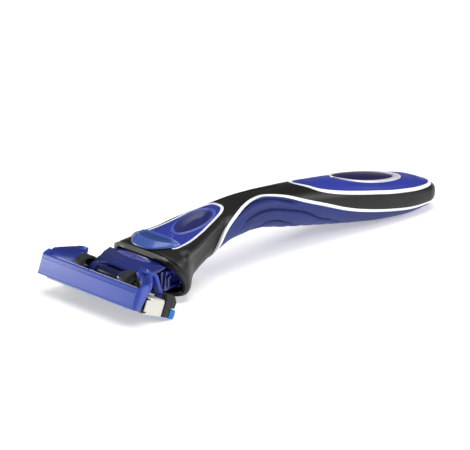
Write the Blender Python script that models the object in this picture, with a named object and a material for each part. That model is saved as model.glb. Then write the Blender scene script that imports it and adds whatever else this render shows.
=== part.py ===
"""Cartridge razor: arched two-tone handle, push-off connector, tilting five-blade cartridge
with a flip-up gel carrier. Lengths are in millimetres here and turned into metres on creation.
+Y runs from the head to the tail, +Z is up, X is the left-right symmetry axis."""
import math

import bmesh
import bpy
from mathutils import Matrix, Vector

MM = 0.001

# ---------------------------------------------------------------- driving dimensions (mm)
FRAME_Y = 1.2            # shift that centres the overall length on the origin
SKIN = 1.2               # wall of the over-moulded skins
CORE_OFF = 1.6           # depth of the white core below the outer surface
TAIL_START, TAIL_END = 62.0, 70.4
MOUTH_Y = -53.0          # front edge of the collar
CORE_FRONT = -41.0       # front face of the core inside the collar

HEAD_TILT = 22.0         # cartridge plane against the horizontal, degrees
HEAD_Y, HEAD_Z = -72.8, 6.2   # front lower edge of the gel carrier bar
PIVOT = (7.4, 5.6)       # cartridge pivot in the head's own (along, normal) coordinates
HINGE = (12.9, 4.4)      # gel carrier hinge in the same coordinates
HALF_WIDTH = 21.0        # half width of the cartridge
BLADE_PITCH = 1.36

# handle sections: y, lowest z, highest z, half width, height share of the widest line,
# superellipse power above and below that line
SECTIONS = [
    (-53, 1.8, 13.7, 14.3, 0.21, 3.4, 4.6),
    (-49, 1.7, 14.5, 14.1, 0.23, 3.2, 4.4),
    (-45, 1.9, 15.2, 13.2, 0.27, 3.0, 3.8),
    (-40, 2.9, 16.3, 10.9, 0.36, 2.7, 3.0),
    (-34, 4.9, 17.5, 9.1, 0.44, 2.5, 2.7),
    (-27, 7.4, 18.9, 7.9, 0.48, 2.4, 2.5),
    (-20, 9.2, 19.9, 7.2, 0.50, 2.3, 2.4),
    (-10, 9.7, 20.4, 6.9, 0.50, 2.3, 2.3),
    (4, 7.1, 19.8, 7.1, 0.50, 2.3, 2.3),
    (18, 4.4, 18.4, 8.0, 0.52, 2.4, 2.3),
    (32, 2.0, 16.4, 9.3, 0.54, 2.6, 2.4),
    (44, 0.4, 14.2, 10.2, 0.56, 2.8, 2.5),
    (54, -0.12, 12.1, 10.4, 0.56, 2.8, 2.6),
    (62, 0.4, 10.4, 9.9, 0.55, 2.7, 2.6),
    (68, 1.2, 9.3, 9.0, 0.54, 2.6, 2.6),
    (73, 1.8, 8.4, 8.0, 0.52, 2.6, 2.6),
]
# edge of the belly grip: y and section angle (0 at the widest line, 90 on top)
BELLY_EDGE = [(-31.5, -86), (-29, -27), (-26, 5), (-21, 30), (-15.5, 53), (-11, 63), (-7, 64),
              (-2.5, 55), (2, 42), (8, 22), (15.5, 6), (25, -7), (33, -14), (41.5, -18),
              (50, -21), (57, -22), (66, -22), (70, -22)]
# edge of the tail pad
TAIL_EDGE = [(10.0, 86), (12, 68), (15.5, 47), (22, 33), (29.5, 26), (37, 22), (45.5, 20),
             (54.5, 24), (59.5, 30), (64, 40), (66.5, 54), (68.2, 86)]
# edge of the thumb panel's white bezel
PANEL_EDGE = [(-43.4, 57), (-40, 50), (-34.5, 47), (-30.5, 50), (-26.5, 56), (-23.7, 63), (-22.2, 73), (-21.6, 86)]

BADGE = (41.5, 13.6, 6.0)      # centre y, half length, half width of the badge ring
DOME = (40.3, 11.9, 4.9)       # same for the dome inside it
THUMB_OVAL = (-31.0, 6.6, 4.1)

for old in list(bpy.data.objects):
    bpy.data.objects.remove(old, do_unlink=True)

parts = bpy.data.collections.new("cartridge_razor")
cutters = bpy.data.collections.new("cutters")
for coll in (parts, cutters):
    bpy.context.scene.collection.children.link(coll)


# ---------------------------------------------------------------- helpers
def pchip(table, column):
    """Monotone cubic through (table[i][0], table[i][column])."""
    x = [float(row[0]) for row in table]
    y = [float(row[column]) for row in table]
    h = [b - a for a, b in zip(x, x[1:])]
    d = [(b - a) / s for a, b, s in zip(y, y[1:], h)]
    m = [d[0]] + [0.0] * (len(x) - 2) + [d[-1]]
    for i in range(1, len(x) - 1):
        if d[i - 1] * d[i] > 0:
            w1, w2 = 2 * h[i] + h[i - 1], h[i] + 2 * h[i - 1]
            m[i] = (w1 + w2) / (w1 / d[i - 1] + w2 / d[i])

    def value(t):
        t = min(max(t, x[0]), x[-1])
        i = max(k for k in range(len(h)) if x[k] <= t)
        s = (t - x[i]) / h[i]
        return ((2 * s**3 - 3 * s**2 + 1) * y[i] + (s**3 - 2 * s**2 + s) * h[i] * m[i]
                + (3 * s**2 - 2 * s**3) * y[i + 1] + (s**3 - s**2) * h[i] * m[i + 1])
    return value


SECTION = [pchip(SECTIONS, k) for k in range(1, 7)]
belly_edge, tail_edge, panel_edge = (pchip(t, 1) for t in (BELLY_EDGE, TAIL_EDGE, PANEL_EDGE))


def surface(y, angle, depth=0.0):
    """Point of the handle's outer surface, or at a depth below it."""
    low, high, half, share, above, below = (f(y) for f in SECTION)
    cap = 1.0
    if y > TAIL_START:
        cap = math.sqrt(max(0.0, 1 - ((y - TAIL_START) / (TAIL_END - TAIL_START)) ** 2))
    mid = low + (high - low) * share
    c, s = math.cos(math.radians(angle)), math.sin(math.radians(angle))
    power = above if s >= 0 else below
    height = (high - mid) if s >= 0 else (mid - low)
    a, b = max(half * cap - depth, 0.02), max(height * cap - depth, 0.02)
    return Vector((a * math.copysign(abs(c) ** (2 / power), c), y,
                   mid + b * math.copysign(abs(s) ** (2 / power), s)))


def steps(a, b, n):
    return [a + (b - a) * i / n for i in range(n + 1)]


def tail_steps(depth, n=7):
    reach = TAIL_END - TAIL_START - depth
    return [TAIL_START + reach * math.sin(math.radians(88.0 * i / n)) for i in range(1, n + 1)]


def material(name, colour, roughness, metallic=0.0, alpha=1.0):
    mat = bpy.data.materials.new(name)
    mat.use_nodes = True
    shader = mat.node_tree.nodes["Principled BSDF"]
    shader.inputs["Base Color"].default_value = tuple((c / 255) ** 2.2 for c in colour) + (1.0,)
    shader.inputs["Roughness"].default_value = roughness
    shader.inputs["Metallic"].default_value = metallic
    shader.inputs["Alpha"].default_value = alpha
    mat.diffuse_color = tuple((c / 255) ** 2.2 for c in colour) + (1.0,)
    return mat


FINISH = {
    "white": ((238, 238, 240), 0.35, 0.0), "black": ((44, 44, 46), 0.55, 0.0),
    "blue_rubber": ((58, 68, 135), 0.6, 0.0), "blue": ((70, 82, 170), 0.35, 0.0),
    "panel_blue": ((52, 60, 125), 0.4, 0.0), "button_blue": ((92, 130, 205), 0.3, 0.0),
    "deep_blue": ((30, 38, 120), 0.2, 0.0), "silver": ((200, 202, 206), 0.25, 1.0),
    "indigo": ((30, 26, 90), 0.25, 0.0), "steel": ((190, 192, 196), 0.25, 1.0),
    "bright_blue": ((20, 125, 205), 0.5, 0.0), "gel": ((170, 190, 225), 0.3, 0.0),
}


def place(name, mesh, finish, parent=None, coll=None):
    ob = bpy.data.objects.new(name, mesh)
    (coll or parts).objects.link(ob)
    if parent is not None:
        ob.parent = parent
        ob.location = -Vector(parent["axis_point"]) if "axis_point" in parent else Vector((0, 0, 0))
    if finish:
        mesh.materials.clear()
        mesh.materials.append(material(name + "_material", *FINISH[finish]))
    if coll is cutters:
        ob.hide_render = True
        ob.display_type = "WIRE"
    return ob


def empty(name, location, tilt=0.0, parent=None, axis_point=(0, 0, 0)):
    ob = bpy.data.objects.new(name, None)
    parts.objects.link(ob)
    ob.empty_display_size = 0.01
    ob.parent = parent
    ob.location = Vector(location) * MM
    ob.rotation_euler = (math.radians(tilt), 0, 0)
    ob["axis_point"] = [c * MM for c in axis_point]
    return ob


def to_mesh(bm, name):
    bmesh.ops.recalc_face_normals(bm, faces=bm.faces)
    mesh = bpy.data.meshes.new(name)
    bm.to_mesh(mesh)
    bm.free()
    return mesh


def box(name, x, y, z, round_edge=0.0):
    bm = bmesh.new()
    bmesh.ops.create_cube(bm, size=1.0)
    size = Vector((x[1] - x[0], y[1] - y[0], z[1] - z[0])) * MM
    centre = Vector((x[0] + x[1], y[0] + y[1], z[0] + z[1])) * MM / 2
    bmesh.ops.transform(bm, verts=bm.verts, matrix=Matrix.Translation(centre) @ Matrix.Diagonal((*size, 1)))
    if round_edge:
        bmesh.ops.bevel(bm, geom=bm.edges[:], offset=round_edge * MM, segments=2, profile=0.5, affect="EDGES")
    return to_mesh(bm, name)


def cylinder(name, x, centre, radius, sides=32):
    """Cylinder along X from x[0] to x[1] at (y, z) = centre."""
    bm = bmesh.new()
    bmesh.ops.create_cone(bm, cap_ends=True, segments=sides, radius1=radius * MM, radius2=radius * MM,
                          depth=abs(x[1] - x[0]) * MM)
    turn = Matrix.Rotation(math.radians(90), 4, "Y")
    move = Matrix.Translation(Vector(((x[0] + x[1]) / 2, centre[0], centre[1])) * MM)
    bmesh.ops.transform(bm, verts=bm.verts, matrix=move @ turn)
    return to_mesh(bm, name)


def oval(name, centre_y, half_length, half_width, z=(-5, 30), sides=40):
    """Upright elliptical cylinder, its long axis along Y."""
    bm = bmesh.new()
    bmesh.ops.create_cone(bm, cap_ends=True, segments=sides, radius1=1.0, radius2=1.0, depth=1.0)
    size = Matrix.Diagonal((half_width * MM, half_length * MM, (z[1] - z[0]) * MM, 1))
    move = Matrix.Translation(Vector((0, centre_y, (z[0] + z[1]) / 2)) * MM)
    bmesh.ops.transform(bm, verts=bm.verts, matrix=move @ size)
    return to_mesh(bm, name)


def prism(name, outline, x):
    """Outline of (y, z) points extruded along X, from a filled flat curve."""
    curve = bpy.data.curves.new(name + "_outline", "CURVE")
    curve.dimensions, curve.fill_mode = "2D", "BOTH"
    curve.extrude = abs(x[1] - x[0]) / 2 * MM
    line = curve.splines.new("POLY")
    line.points.add(len(outline) - 1)
    line.use_cyclic_u = True
    for point, (y, z) in zip(line.points, outline):
        point.co = (y * MM, z * MM, 0, 1)
    ob = bpy.data.objects.new(name + "_outline", curve)
    cutters.objects.link(ob)
    bpy.context.view_layer.update()
    mesh = bpy.data.meshes.new_from_object(ob.evaluated_get(bpy.context.evaluated_depsgraph_get()))
    bpy.data.objects.remove(ob)
    bm = bmesh.new()
    bm.from_mesh(mesh)
    bmesh.ops.remove_doubles(bm, verts=bm.verts, dist=1e-6)
    axes = Matrix(((0, 0, 1, (x[0] + x[1]) / 2 * MM), (1, 0, 0, 0), (0, 1, 0, 0), (0, 0, 0, 1)))
    bmesh.ops.transform(bm, verts=bm.verts, matrix=axes)
    return to_mesh(bm, name)


def hull(name, points):
    """Convex solid round the given (x, y, z) points."""
    bm = bmesh.new()
    for p in points:
        bm.verts.new(Vector(p) * MM)
    got = bmesh.ops.convex_hull(bm, input=bm.verts)
    loose = [v for v in bm.verts if not v.link_faces]
    bmesh.ops.delete(bm, geom=loose, context="VERTS")
    bmesh.ops.dissolve_limit(bm, angle_limit=math.radians(0.5), verts=bm.verts, edges=bm.edges)
    return to_mesh(bm, name)


def disc_points(x, centre, radius, n=16):
    return [(xx, centre[0] + radius * math.cos(2 * math.pi * i / n), centre[1] + radius * math.sin(2 * math.pi * i / n))
            for xx in x for i in range(n)]


def skin_patch(name, ys, low, high, outer, inner, n):
    """Curved slab of the handle's surface between two edge angles and two depths."""
    bm = bmesh.new()
    grids = []
    for depth in (outer, inner):
        grids.append([[bm.verts.new(surface(y, low(y) + (high(y) - low(y)) * j / n, depth) * MM)
                       for j in range(n + 1)] for y in ys])
    top, bottom = grids
    last = len(ys) - 1
    for i in range(last):
        for j in range(n):
            bm.faces.new((top[i][j], top[i][j + 1], top[i + 1][j + 1], top[i + 1][j]))
            bm.faces.new((bottom[i][j], bottom[i + 1][j], bottom[i + 1][j + 1], bottom[i][j + 1]))
        for j in (0, n):
            bm.faces.new((top[i][j], top[i + 1][j], bottom[i + 1][j], bottom[i][j]))
    for i in (0, last):
        for j in range(n):
            bm.faces.new((top[i][j], top[i][j + 1], bottom[i][j + 1], bottom[i][j]))
    return to_mesh(bm, name)


def body_loft(name, start, depth, n=28, spacing=3.8, rows=None):
    """Closed loft of the handle from a flat front at y = start to the rounded tail."""
    ys = rows or steps(start, TAIL_START, int((TAIL_START - start) / spacing)) + tail_steps(depth)
    bm = bmesh.new()
    rings = [[bm.verts.new(surface(y, 360.0 * j / n, depth) * MM) for j in range(n)] for y in ys]
    for a, b in zip(rings, rings[1:]):
        for j in range(n):
            bm.faces.new((a[j], a[(j + 1) % n], b[(j + 1) % n], b[j]))
    bm.faces.new(rings[0])
    bm.faces.new(rings[-1])
    return to_mesh(bm, name)


def boolean(target, mesh, operation="DIFFERENCE", parent="same"):
    """Cuts, joins or intersects with a hidden copy kept in the cutters collection."""
    tool = place(f"{target.name}_{operation.lower()}_{len(target.modifiers)}", mesh, None,
                 target.parent if parent == "same" else parent, cutters)
    mod = target.modifiers.new(tool.name, "BOOLEAN")
    mod.operation, mod.solver, mod.object = operation, "EXACT", tool
    return tool


# ---------------------------------------------------------------- frames and joint axes
razor = empty("razor_frame", (0, FRAME_Y, 0))
button_axis = empty("button_slide_axis", (0, -47.0, 13.0), parent=razor, axis_point=(0, -47.0, 13.0))
tilt = math.radians(HEAD_TILT)


def head_to_handle(along, normal):
    return (HEAD_Y + along * math.cos(tilt) + normal * math.sin(tilt),
            HEAD_Z - along * math.sin(tilt) + normal * math.cos(tilt))


PIVOT_Y, PIVOT_Z = head_to_handle(*PIVOT)
connector_axis = empty("connector_release_axis", (0, -53.0, 8.0), parent=razor, axis_point=(0, -53.0, 8.0))
cartridge_axis = empty("cartridge_pivot_axis", (0, PIVOT_Y + 53.0, PIVOT_Z - 8.0), -HEAD_TILT, connector_axis,
                       (0, PIVOT[0], PIVOT[1]))
carrier_axis = empty("carrier_hinge_axis", (0, HINGE[0] - PIVOT[0], HINGE[1] - PIVOT[1]), 0.0, cartridge_axis,
                     (0, HINGE[0], HINGE[1]))

# ---------------------------------------------------------------- handle
flat = lambda value: (lambda y: value)
ring_gap = 5.0   # degrees left between neighbouring skins, where the white core shows

core = place("handle_core", body_loft("handle_core", CORE_FRONT, CORE_OFF, 24, 5.5), "white", razor)

grip = place("black_grip", body_loft("black_grip", MOUTH_Y, 0.0), "black", razor)
boolean(grip, body_loft("grip_hollow", MOUTH_Y - 3.0, SKIN))
boolean(grip, prism("mouth_cut", [(-62, 16.5), (-53.2, 16.5), (-52.8, 13.4), (-50.3, 11.5), (-48.6, 9.3), (-47.3, 6.5),
                                  (-47.0, 5.0), (-47.8, 4.3), (-52.3, 3.6), (-52.7, 2.8), (-52.7, -2), (-62, -2)], (-20, 20)))
belly_rows = [-31.2, -30.3, -29.2, -27.8] + steps(-26, 62, 24) + [64.5, 66.5, 68.0]
boolean(grip, skin_patch("belly_cut", [-31.9] + belly_rows[1:-1] + [68.9],
                         lambda y: -180 - belly_edge(y) - ring_gap, lambda y: belly_edge(y) + ring_gap, -1.5, SKIN + 0.3, 20))
tail_rows = [10.6, 12, 14] + steps(16, 60, 14) + [62, 64, 65.6, 67.0, 67.9]
boolean(grip, skin_patch("tail_cut", [9.6] + tail_rows[1:-1] + [68.6],
                         lambda y: tail_edge(y) - ring_gap, lambda y: 180 - tail_edge(y) + ring_gap, -1.5, SKIN + 0.3, 12))
panel_rows = [-43.2] + steps(-42, -25, 8) + [-23.2, -22.0]
boolean(grip, skin_patch("panel_cut", [-43.55] + panel_rows[1:-1] + [-21.5],
                         lambda y: panel_edge(y) - 3.0, lambda y: 183.0 - panel_edge(y), -1.5, SKIN + 0.3, 10))
boolean(grip, box("stem_slot", (-2.4, 2.4), (-49.3, -42.8), (10.5, 18)))

belly = place("belly_grip", skin_patch("belly_grip", belly_rows, lambda y: -180 - belly_edge(y), belly_edge, 0.0, SKIN, 20),
              "blue_rubber", razor)
boolean(belly, box("rest_face_cut", (-12, 12), (35, 75), (-3, 0)))

tail = place("tail_pad", skin_patch("tail_pad", tail_rows, tail_edge, lambda y: 180 - tail_edge(y), 0.0, SKIN, 12),
             "panel_blue", razor)
boolean(tail, oval("badge_pocket", BADGE[0], BADGE[1] + 0.3, BADGE[2] + 0.3, (4, 30)))
badge_rows = steps(BADGE[0] - BADGE[1] - 1.5, BADGE[0] + BADGE[1] + 1.5, 14)
ring = place("badge_ring", skin_patch("badge_ring", badge_rows, flat(30), flat(150), -0.35, SKIN, 14), "silver", razor)
boolean(ring, oval("badge_ring_outline", *BADGE, (4, 30)), "INTERSECT")
boolean(ring, oval("badge_ring_hole", DOME[0], DOME[1] + 0.3, DOME[2] + 0.3, (2, 34)))
dome = place("badge_dome", skin_patch("badge_dome", badge_rows, flat(30), flat(150), -0.7, SKIN, 14), "indigo", razor)
boolean(dome, oval("badge_dome_outline", *DOME, (4, 30)), "INTERSECT")

# thumb panel in its white bezel tray, sunk into the core
boolean(core, skin_patch("tray_pocket", [-44.5] + panel_rows[1:-1] + [-21.2],
                         lambda y: panel_edge(y) - 6.0, lambda y: 186.0 - panel_edge(y), -1.0, 2.5, 10))
bezel = place("thumb_panel_bezel", skin_patch("thumb_panel_bezel", panel_rows, panel_edge, lambda y: 180 - panel_edge(y),
                                              -0.1, 2.2, 10), "white", razor)
inner_rows = [-43.6] + panel_rows[1:-2] + [-23.8]
boolean(bezel, skin_patch("panel_seat", [-44.2] + inner_rows[1:-1] + [-23.5], lambda y: panel_edge(y) + 6.0,
                          lambda y: 174.0 - panel_edge(y), -2.0, 1.7, 10))
panel = place("thumb_panel", skin_patch("thumb_panel", [-43.1] + inner_rows[1:], lambda y: panel_edge(y) + 9.5,
                                        lambda y: 170.5 - panel_edge(y), 0.0, 1.4, 10), "panel_blue", razor)
scoop = skin_patch("thumb_scoop", steps(-39, -23, 8), flat(35), flat(145), -3.0, 0.75, 8)
scoop_tool = place("thumb_scoop_blank", scoop, None, razor, cutters)
boolean(scoop_tool, oval("thumb_scoop_outline", *THUMB_OVAL, (4, 30)), "INTERSECT", razor)
mod = panel.modifiers.new("thumb_scoop", "BOOLEAN")
mod.operation, mod.solver, mod.object = "DIFFERENCE", "EXACT", scoop_tool

# docking nose, seated in the core and reaching into the collar
boolean(core, box("nose_pocket", (-4.5, 4.5), (-43, -37.2), (6.3, 9.7)))
place("docking_nose", box("docking_nose", (-4.2, 4.2), (-49.5, -37.5), (6.6, 9.4), 0.4), "black", razor)
bore = bmesh.new()
bmesh.ops.create_cone(bore, cap_ends=True, segments=24, radius1=1.9 * MM, radius2=1.9 * MM, depth=8 * MM)
bmesh.ops.transform(bore, verts=bore.verts, matrix=Matrix.Translation(Vector((0, -39.2, 11.7)) * MM)
                    @ Matrix.Rotation(math.radians(90), 4, "X"))
boolean(core, to_mesh(bore, "spring_bore"))

# ---------------------------------------------------------------- release button
BUTTON_EDGE = [(-50.9, 78), (-49.9, 71), (-48.4, 68), (-46.5, 66), (-44.2, 65)]
button_edge = pchip(BUTTON_EDGE, 1)
button = place("release_button", skin_patch("release_button", [row[0] for row in BUTTON_EDGE], button_edge,
                                            lambda y: 180 - button_edge(y), -1.2, -0.3, 10), "button_blue", button_axis)
boolean(button, box("button_stem", (-2.0, 2.0), (-46.4, -44.6), (12.7, 16.0)), "UNION")
place("ejector_slider", box("ejector_slider", (-3.5, 3.5), (-46.6, -42.0), (10.9, 12.4), 0.3), "white", button_axis)


def coil(name, start, end, centre, radius, wire, turns, finish, parent):
    """Round-wire compression spring along Y."""
    curve = bpy.data.curves.new(name, "CURVE")
    curve.dimensions = "3D"
    curve.bevel_depth, curve.bevel_resolution, curve.use_fill_caps = wire / 2 * MM, 2, True
    count = int(turns * 9)
    line = curve.splines.new("POLY")
    line.points.add(count)
    for i, point in enumerate(line.points):
        a = 2 * math.pi * turns * i / count
        y = start + (end - start) * i / count
        point.co = (*(Vector((centre[0] + radius * math.cos(a), y, centre[1] + radius * math.sin(a))) * MM), 1)
    ob = bpy.data.objects.new(name, curve)
    cutters.objects.link(ob)
    bpy.context.view_layer.update()
    mesh = bpy.data.meshes.new_from_object(ob.evaluated_get(bpy.context.evaluated_depsgraph_get()))
    bpy.data.objects.remove(ob)
    bm = bmesh.new()
    bm.from_mesh(mesh)
    bmesh.ops.remove_doubles(bm, verts=bm.verts, dist=1e-6)
    return place(name, to_mesh(bm, name), finish, parent)


coil("button_return_spring", -41.4, -35.7, (0, 11.7), 1.25, 0.4, 5, "steel", razor)

# ---------------------------------------------------------------- connector
plate = [(-59.4, 8.95), (-59.4, 10.15), (-56.5, 10.9), (-52.3, 12.2), (-49.2, 12.5), (-49.2, 10.5), (-53.0, 10.2), (-56.0, 9.6)]
connector = place("connector_shell", prism("connector_shell", plate, (-10.3, 10.3)), "deep_blue", connector_axis)
boolean(connector, box("connector_body", (-8.0, 8.0), (-53.0, -43.6), (4.4, 10.35)), "UNION")
for side in (-1, 1):
    arm = disc_points(sorted((side * 4.8, side * 7.2)), (PIVOT_Y, PIVOT_Z), 2.3, 20)
    arm += [(side * xx, y, z) for xx in (4.8, 7.2) for y, z in ((-59.0, 9.2), (-59.0, 10.1), (-57.5, 9.6), (-57.5, 10.4))]
    boolean(connector, hull(f"yoke_arm_{side}", arm), "UNION")
boolean(connector, body_loft("collar_inside", -66.0, 1.65, 32, 3.0, steps(-66, -40, 9)), "INTERSECT")
boolean(connector, box("nose_socket", (-4.6, 4.6), (-50.2, -42), (6.2, 9.8)))
for side in (-1, 1):
    boolean(connector, cylinder(f"pin_hole_{side}", (side * 4.0, side * 8.0), (PIVOT_Y, PIVOT_Z), 1.5, 24))
for side, word in ((-1, "left"), (1, "right")):
    place(f"pivot_pin_{word}", cylinder(f"pivot_pin_{word}", (side * 5.0, side * 10.8), (PIVOT_Y, PIVOT_Z), 1.2, 24),
          "steel", connector_axis)
    finger = hull(f"latch_finger_{word}", [(side * xx, y, z) for xx, y, z in
                  ((8.4, -52.8, 4.5), (10.8, -52.8, 4.5), (8.4, -52.8, 9.5), (10.8, -52.4, 9.4),
                   (8.4, -46.2, 4.6), (11.1, -46.2, 4.6), (8.4, -46.2, 9.0), (11.0, -46.2, 8.9))])
    place(f"latch_finger_{word}", finger, "deep_blue", connector_axis)
place("pivot_return_spring", prism("pivot_return_spring",
      [(-53.4, 8.75), (-53.4, 9.05), (-56.5, 9.1), (-59.3, 8.3), (-60.3, 7.2), (-60.0, 7.0), (-59.1, 8.0), (-56.5, 8.8)], (-1.5, 1.5)),
      "steel", connector_axis)

# ---------------------------------------------------------------- cartridge (head coordinates)
frame = place("cartridge_frame", prism("cartridge_frame", [(3.3, 0.1), (11.6, 0.1), (11.6, 2.4), (15.0, 2.4), (15.0, 3.2),
                                                           (12.6, 4.0), (3.3, 4.0)], (-18.1, 18.1)), "black", cartridge_axis)
for side in (-1, 1):
    x = sorted((side * 17.0, side * 20.1))
    boolean(frame, box(f"frame_end_{side}", x, (3.3, 10.8), (0.1, 4.0)), "UNION")
boolean(frame, box("blade_bay", (-16.2, 16.2), (4.2, 11.0), (-1.0, 2.7)))
for x in ((-16.2, -12.0), (-7.7, 7.7), (12.0, 16.2)):
    boolean(frame, box("rinse_window", x, (4.2, 11.0), (2.0, 6.0)))
for side in (-1, 1):
    boolean(frame, box("hinge_notch", sorted((side * 15.0, side * 18.4)), (10.9, 15.6), (2.2, 6.0)))
for i in range(5):
    y = 4.5 + BLADE_PITCH * i
    blade = prism(f"blade_{i + 1}", [(y, 0.0), (y + 0.35, 0.0), (y + 0.75, 2.1), (y + 0.40, 2.1)], (-15.9, 15.9))
    place(f"blade_{i + 1}", blade, "steel", cartridge_axis)

for side, word in ((-1, "left"), (1, "right")):
    arc = [(PIVOT[0] + 3.8 * math.cos(math.radians(a)), PIVOT[1] + 3.8 * math.sin(math.radians(a))) for a in range(0, 181, 12)]
    lug = place(f"bearing_lug_{word}", prism(f"bearing_lug_{word}", [(11.2, 4.3)] + arc + [(3.6, 4.3)],
                                             sorted((side * 8.0, side * 11.0))), "black", cartridge_axis)
    boolean(lug, cylinder("lug_hollow", sorted((side * 7.0, side * 10.0)), PIVOT, 3.0, 32))
    boolean(lug, cylinder("lug_bearing", sorted((side * 9.0, side * 12.0)), PIVOT, 1.5, 24))

    clip = place(f"clip_{word}", box(f"clip_{word}", sorted((side * 16.8, side * 20.8)), (4.0, 10.8), (-0.55, 4.7), 0.25),
                 "steel", cartridge_axis)
    boolean(clip, box("clip_inside", sorted((side * 16.0, side * 20.4)), (3.0, 12.0), (-0.2, 4.3)))

    cap_outline = [(11.1, -0.3), (13.1, -0.3), (13.3, 2.35), (15.1, 2.5), (15.2, 4.2), (14.7, 5.5), (13.5, 6.2), (11.9, 6.2), (11.1, 5.5)]
    cap = place(f"end_cap_{word}", prism(f"end_cap_{word}", cap_outline, sorted((side * 18.4, side * 21.0))), "black", cartridge_axis)
    boolean(cap, cylinder("hinge_socket", sorted((side * 18.0, side * 20.2)), HINGE, 1.2, 24))

guard = place("guard_strip", prism("guard_strip", [(11.9, -0.35), (15.3, -0.5), (15.7, 0.6), (15.6, 2.1), (11.9, 2.05)],
                                   (-18.1, 18.1)), "bright_blue", cartridge_axis)
for side in (-1, 1):
    boolean(guard, prism("guard_end", [(13.6, -0.42), (15.3, -0.5), (15.7, 0.6), (15.6, 2.1), (13.7, 2.0)],
                         sorted((side * 17.5, side * 21.0))), "UNION")
place("trimmer_blade", box("trimmer_blade", (-17.0, 17.0), (2.7, 3.0), (0.5, 6.1)), "steel", cartridge_axis)

# ---------------------------------------------------------------- flip-up gel carrier (head coordinates)
carrier = place("gel_carrier", box("gel_carrier", (-20.6, 20.6), (0.0, 2.4), (0.1, 6.0), 0.3), "blue", carrier_axis)
for side, word in ((-1, "left"), (1, "right")):
    s = side
    cheek = [(s * 20.4, 0.7, 0.4), (s * 21.0, 1.0, 0.4), (s * 21.0, 3.5, 0.4), (s * 20.4, 3.5, 0.4),
             (s * 20.4, 0.7, 5.6), (s * 21.0, 1.0, 5.6), (s * 21.0, 3.2, 7.6), (s * 20.0, 2.6, 7.8), (s * 20.4, 3.5, 5.0)]
    boolean(carrier, hull(f"cheek_{word}", cheek), "UNION")
    boolean(carrier, hull(f"cheek_root_{word}", [(s * 19.6, 1.2, 4.9), (s * 21.0, 1.2, 4.9), (s * 19.6, 3.2, 5.1), (s * 21.0, 3.2, 5.1),
                                                 (s * 19.6, 1.6, 7.6), (s * 21.0, 1.6, 7.4), (s * 19.8, 2.9, 7.7), (s * 21.0, 3.2, 7.6)]), "UNION")
    ear = [(s * 19.3, 1.3, 5.1), (s * 20.9, 2.2, 5.1), (s * 19.6, 1.8, 7.7), (s * 20.7, 2.9, 7.7),
           (s * 13.2, 7.6, 8.5), (s * 14.8, 8.6, 8.4), (s * 13.2, 7.8, 10.7), (s * 14.4, 8.6, 10.7)]
    boolean(carrier, hull(f"ear_{word}", ear), "UNION")
    loop = [(s * xx, y, z) for xx, y, z in ((13.2, 7.6, 9.6), (14.8, 7.8, 9.6), (13.2, 7.8, 10.9), (14.6, 8.0, 10.9),
                                            (13.6, 9.8, 9.4), (15.6, 9.8, 9.4), (13.6, 9.6, 10.8), (15.2, 9.6, 10.8))]
    boolean(carrier, hull(f"ear_top_{word}", loop), "UNION")
    leg = [(s * xx, y, z) for xx, y, z in ((13.8, 8.6, 9.0), (15.6, 8.6, 9.0), (13.8, 9.7, 10.6), (15.4, 9.7, 10.6))]
    leg += disc_points(sorted((s * 15.4, s * 18.0)), HINGE, 1.45, 16)
    boolean(carrier, hull(f"hinge_leg_{word}", leg), "UNION")
for side, word in ((-1, "left"), (1, "right")):
    boolean(carrier, cylinder("hinge_pin_hole", sorted((side * 16.4, side * 18.5)), HINGE, 0.95, 20))
    place(f"hinge_pin_{word}", cylinder(f"hinge_pin_{word}", sorted((side * 16.7, side * 19.9)), HINGE, 0.65, 20), "steel", carrier_axis)
boolean(carrier, box("gel_channel", (-17.3, 17.3), (0.5, 2.0), (-1.0, 2.0)))
place("gel_strip", box("gel_strip", (-17.0, 17.0), (0.8, 1.7), (-0.3, 1.7), 0.15), "gel", carrier_axis)

bpy.context.view_layer.update()
for ob in parts.objects:
    if ob.type == "MESH":
        ob.data.shade_smooth()
        ob.data.set_sharp_from_angle(angle=math.radians(35))
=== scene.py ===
"""Looks of the cartridge razor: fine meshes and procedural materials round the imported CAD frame.
Lengths are in millimetres until mesh creation. Head parts are modelled in the head's own axes
(x across, a along the cartridge towards the handle, n along its back normal)."""
import math

import bmesh
import bpy
import numpy as np
from mathutils import Matrix, Vector


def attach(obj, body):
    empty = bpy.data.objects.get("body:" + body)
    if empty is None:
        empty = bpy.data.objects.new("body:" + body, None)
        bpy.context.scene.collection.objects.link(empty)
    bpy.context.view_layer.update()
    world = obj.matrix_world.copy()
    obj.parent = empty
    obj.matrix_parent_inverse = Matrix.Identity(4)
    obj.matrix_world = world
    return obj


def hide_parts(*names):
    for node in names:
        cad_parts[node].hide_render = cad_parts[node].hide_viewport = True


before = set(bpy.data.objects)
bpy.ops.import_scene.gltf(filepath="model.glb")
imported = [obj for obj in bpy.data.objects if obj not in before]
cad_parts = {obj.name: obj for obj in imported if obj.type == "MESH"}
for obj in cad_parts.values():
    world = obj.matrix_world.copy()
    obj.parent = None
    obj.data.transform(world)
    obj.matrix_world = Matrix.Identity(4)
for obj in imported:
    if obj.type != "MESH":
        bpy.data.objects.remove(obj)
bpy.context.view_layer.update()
MM = 0.001
Y0 = 1.2
TAIL_START, TAIL_END = 62.0, 70.4

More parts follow.
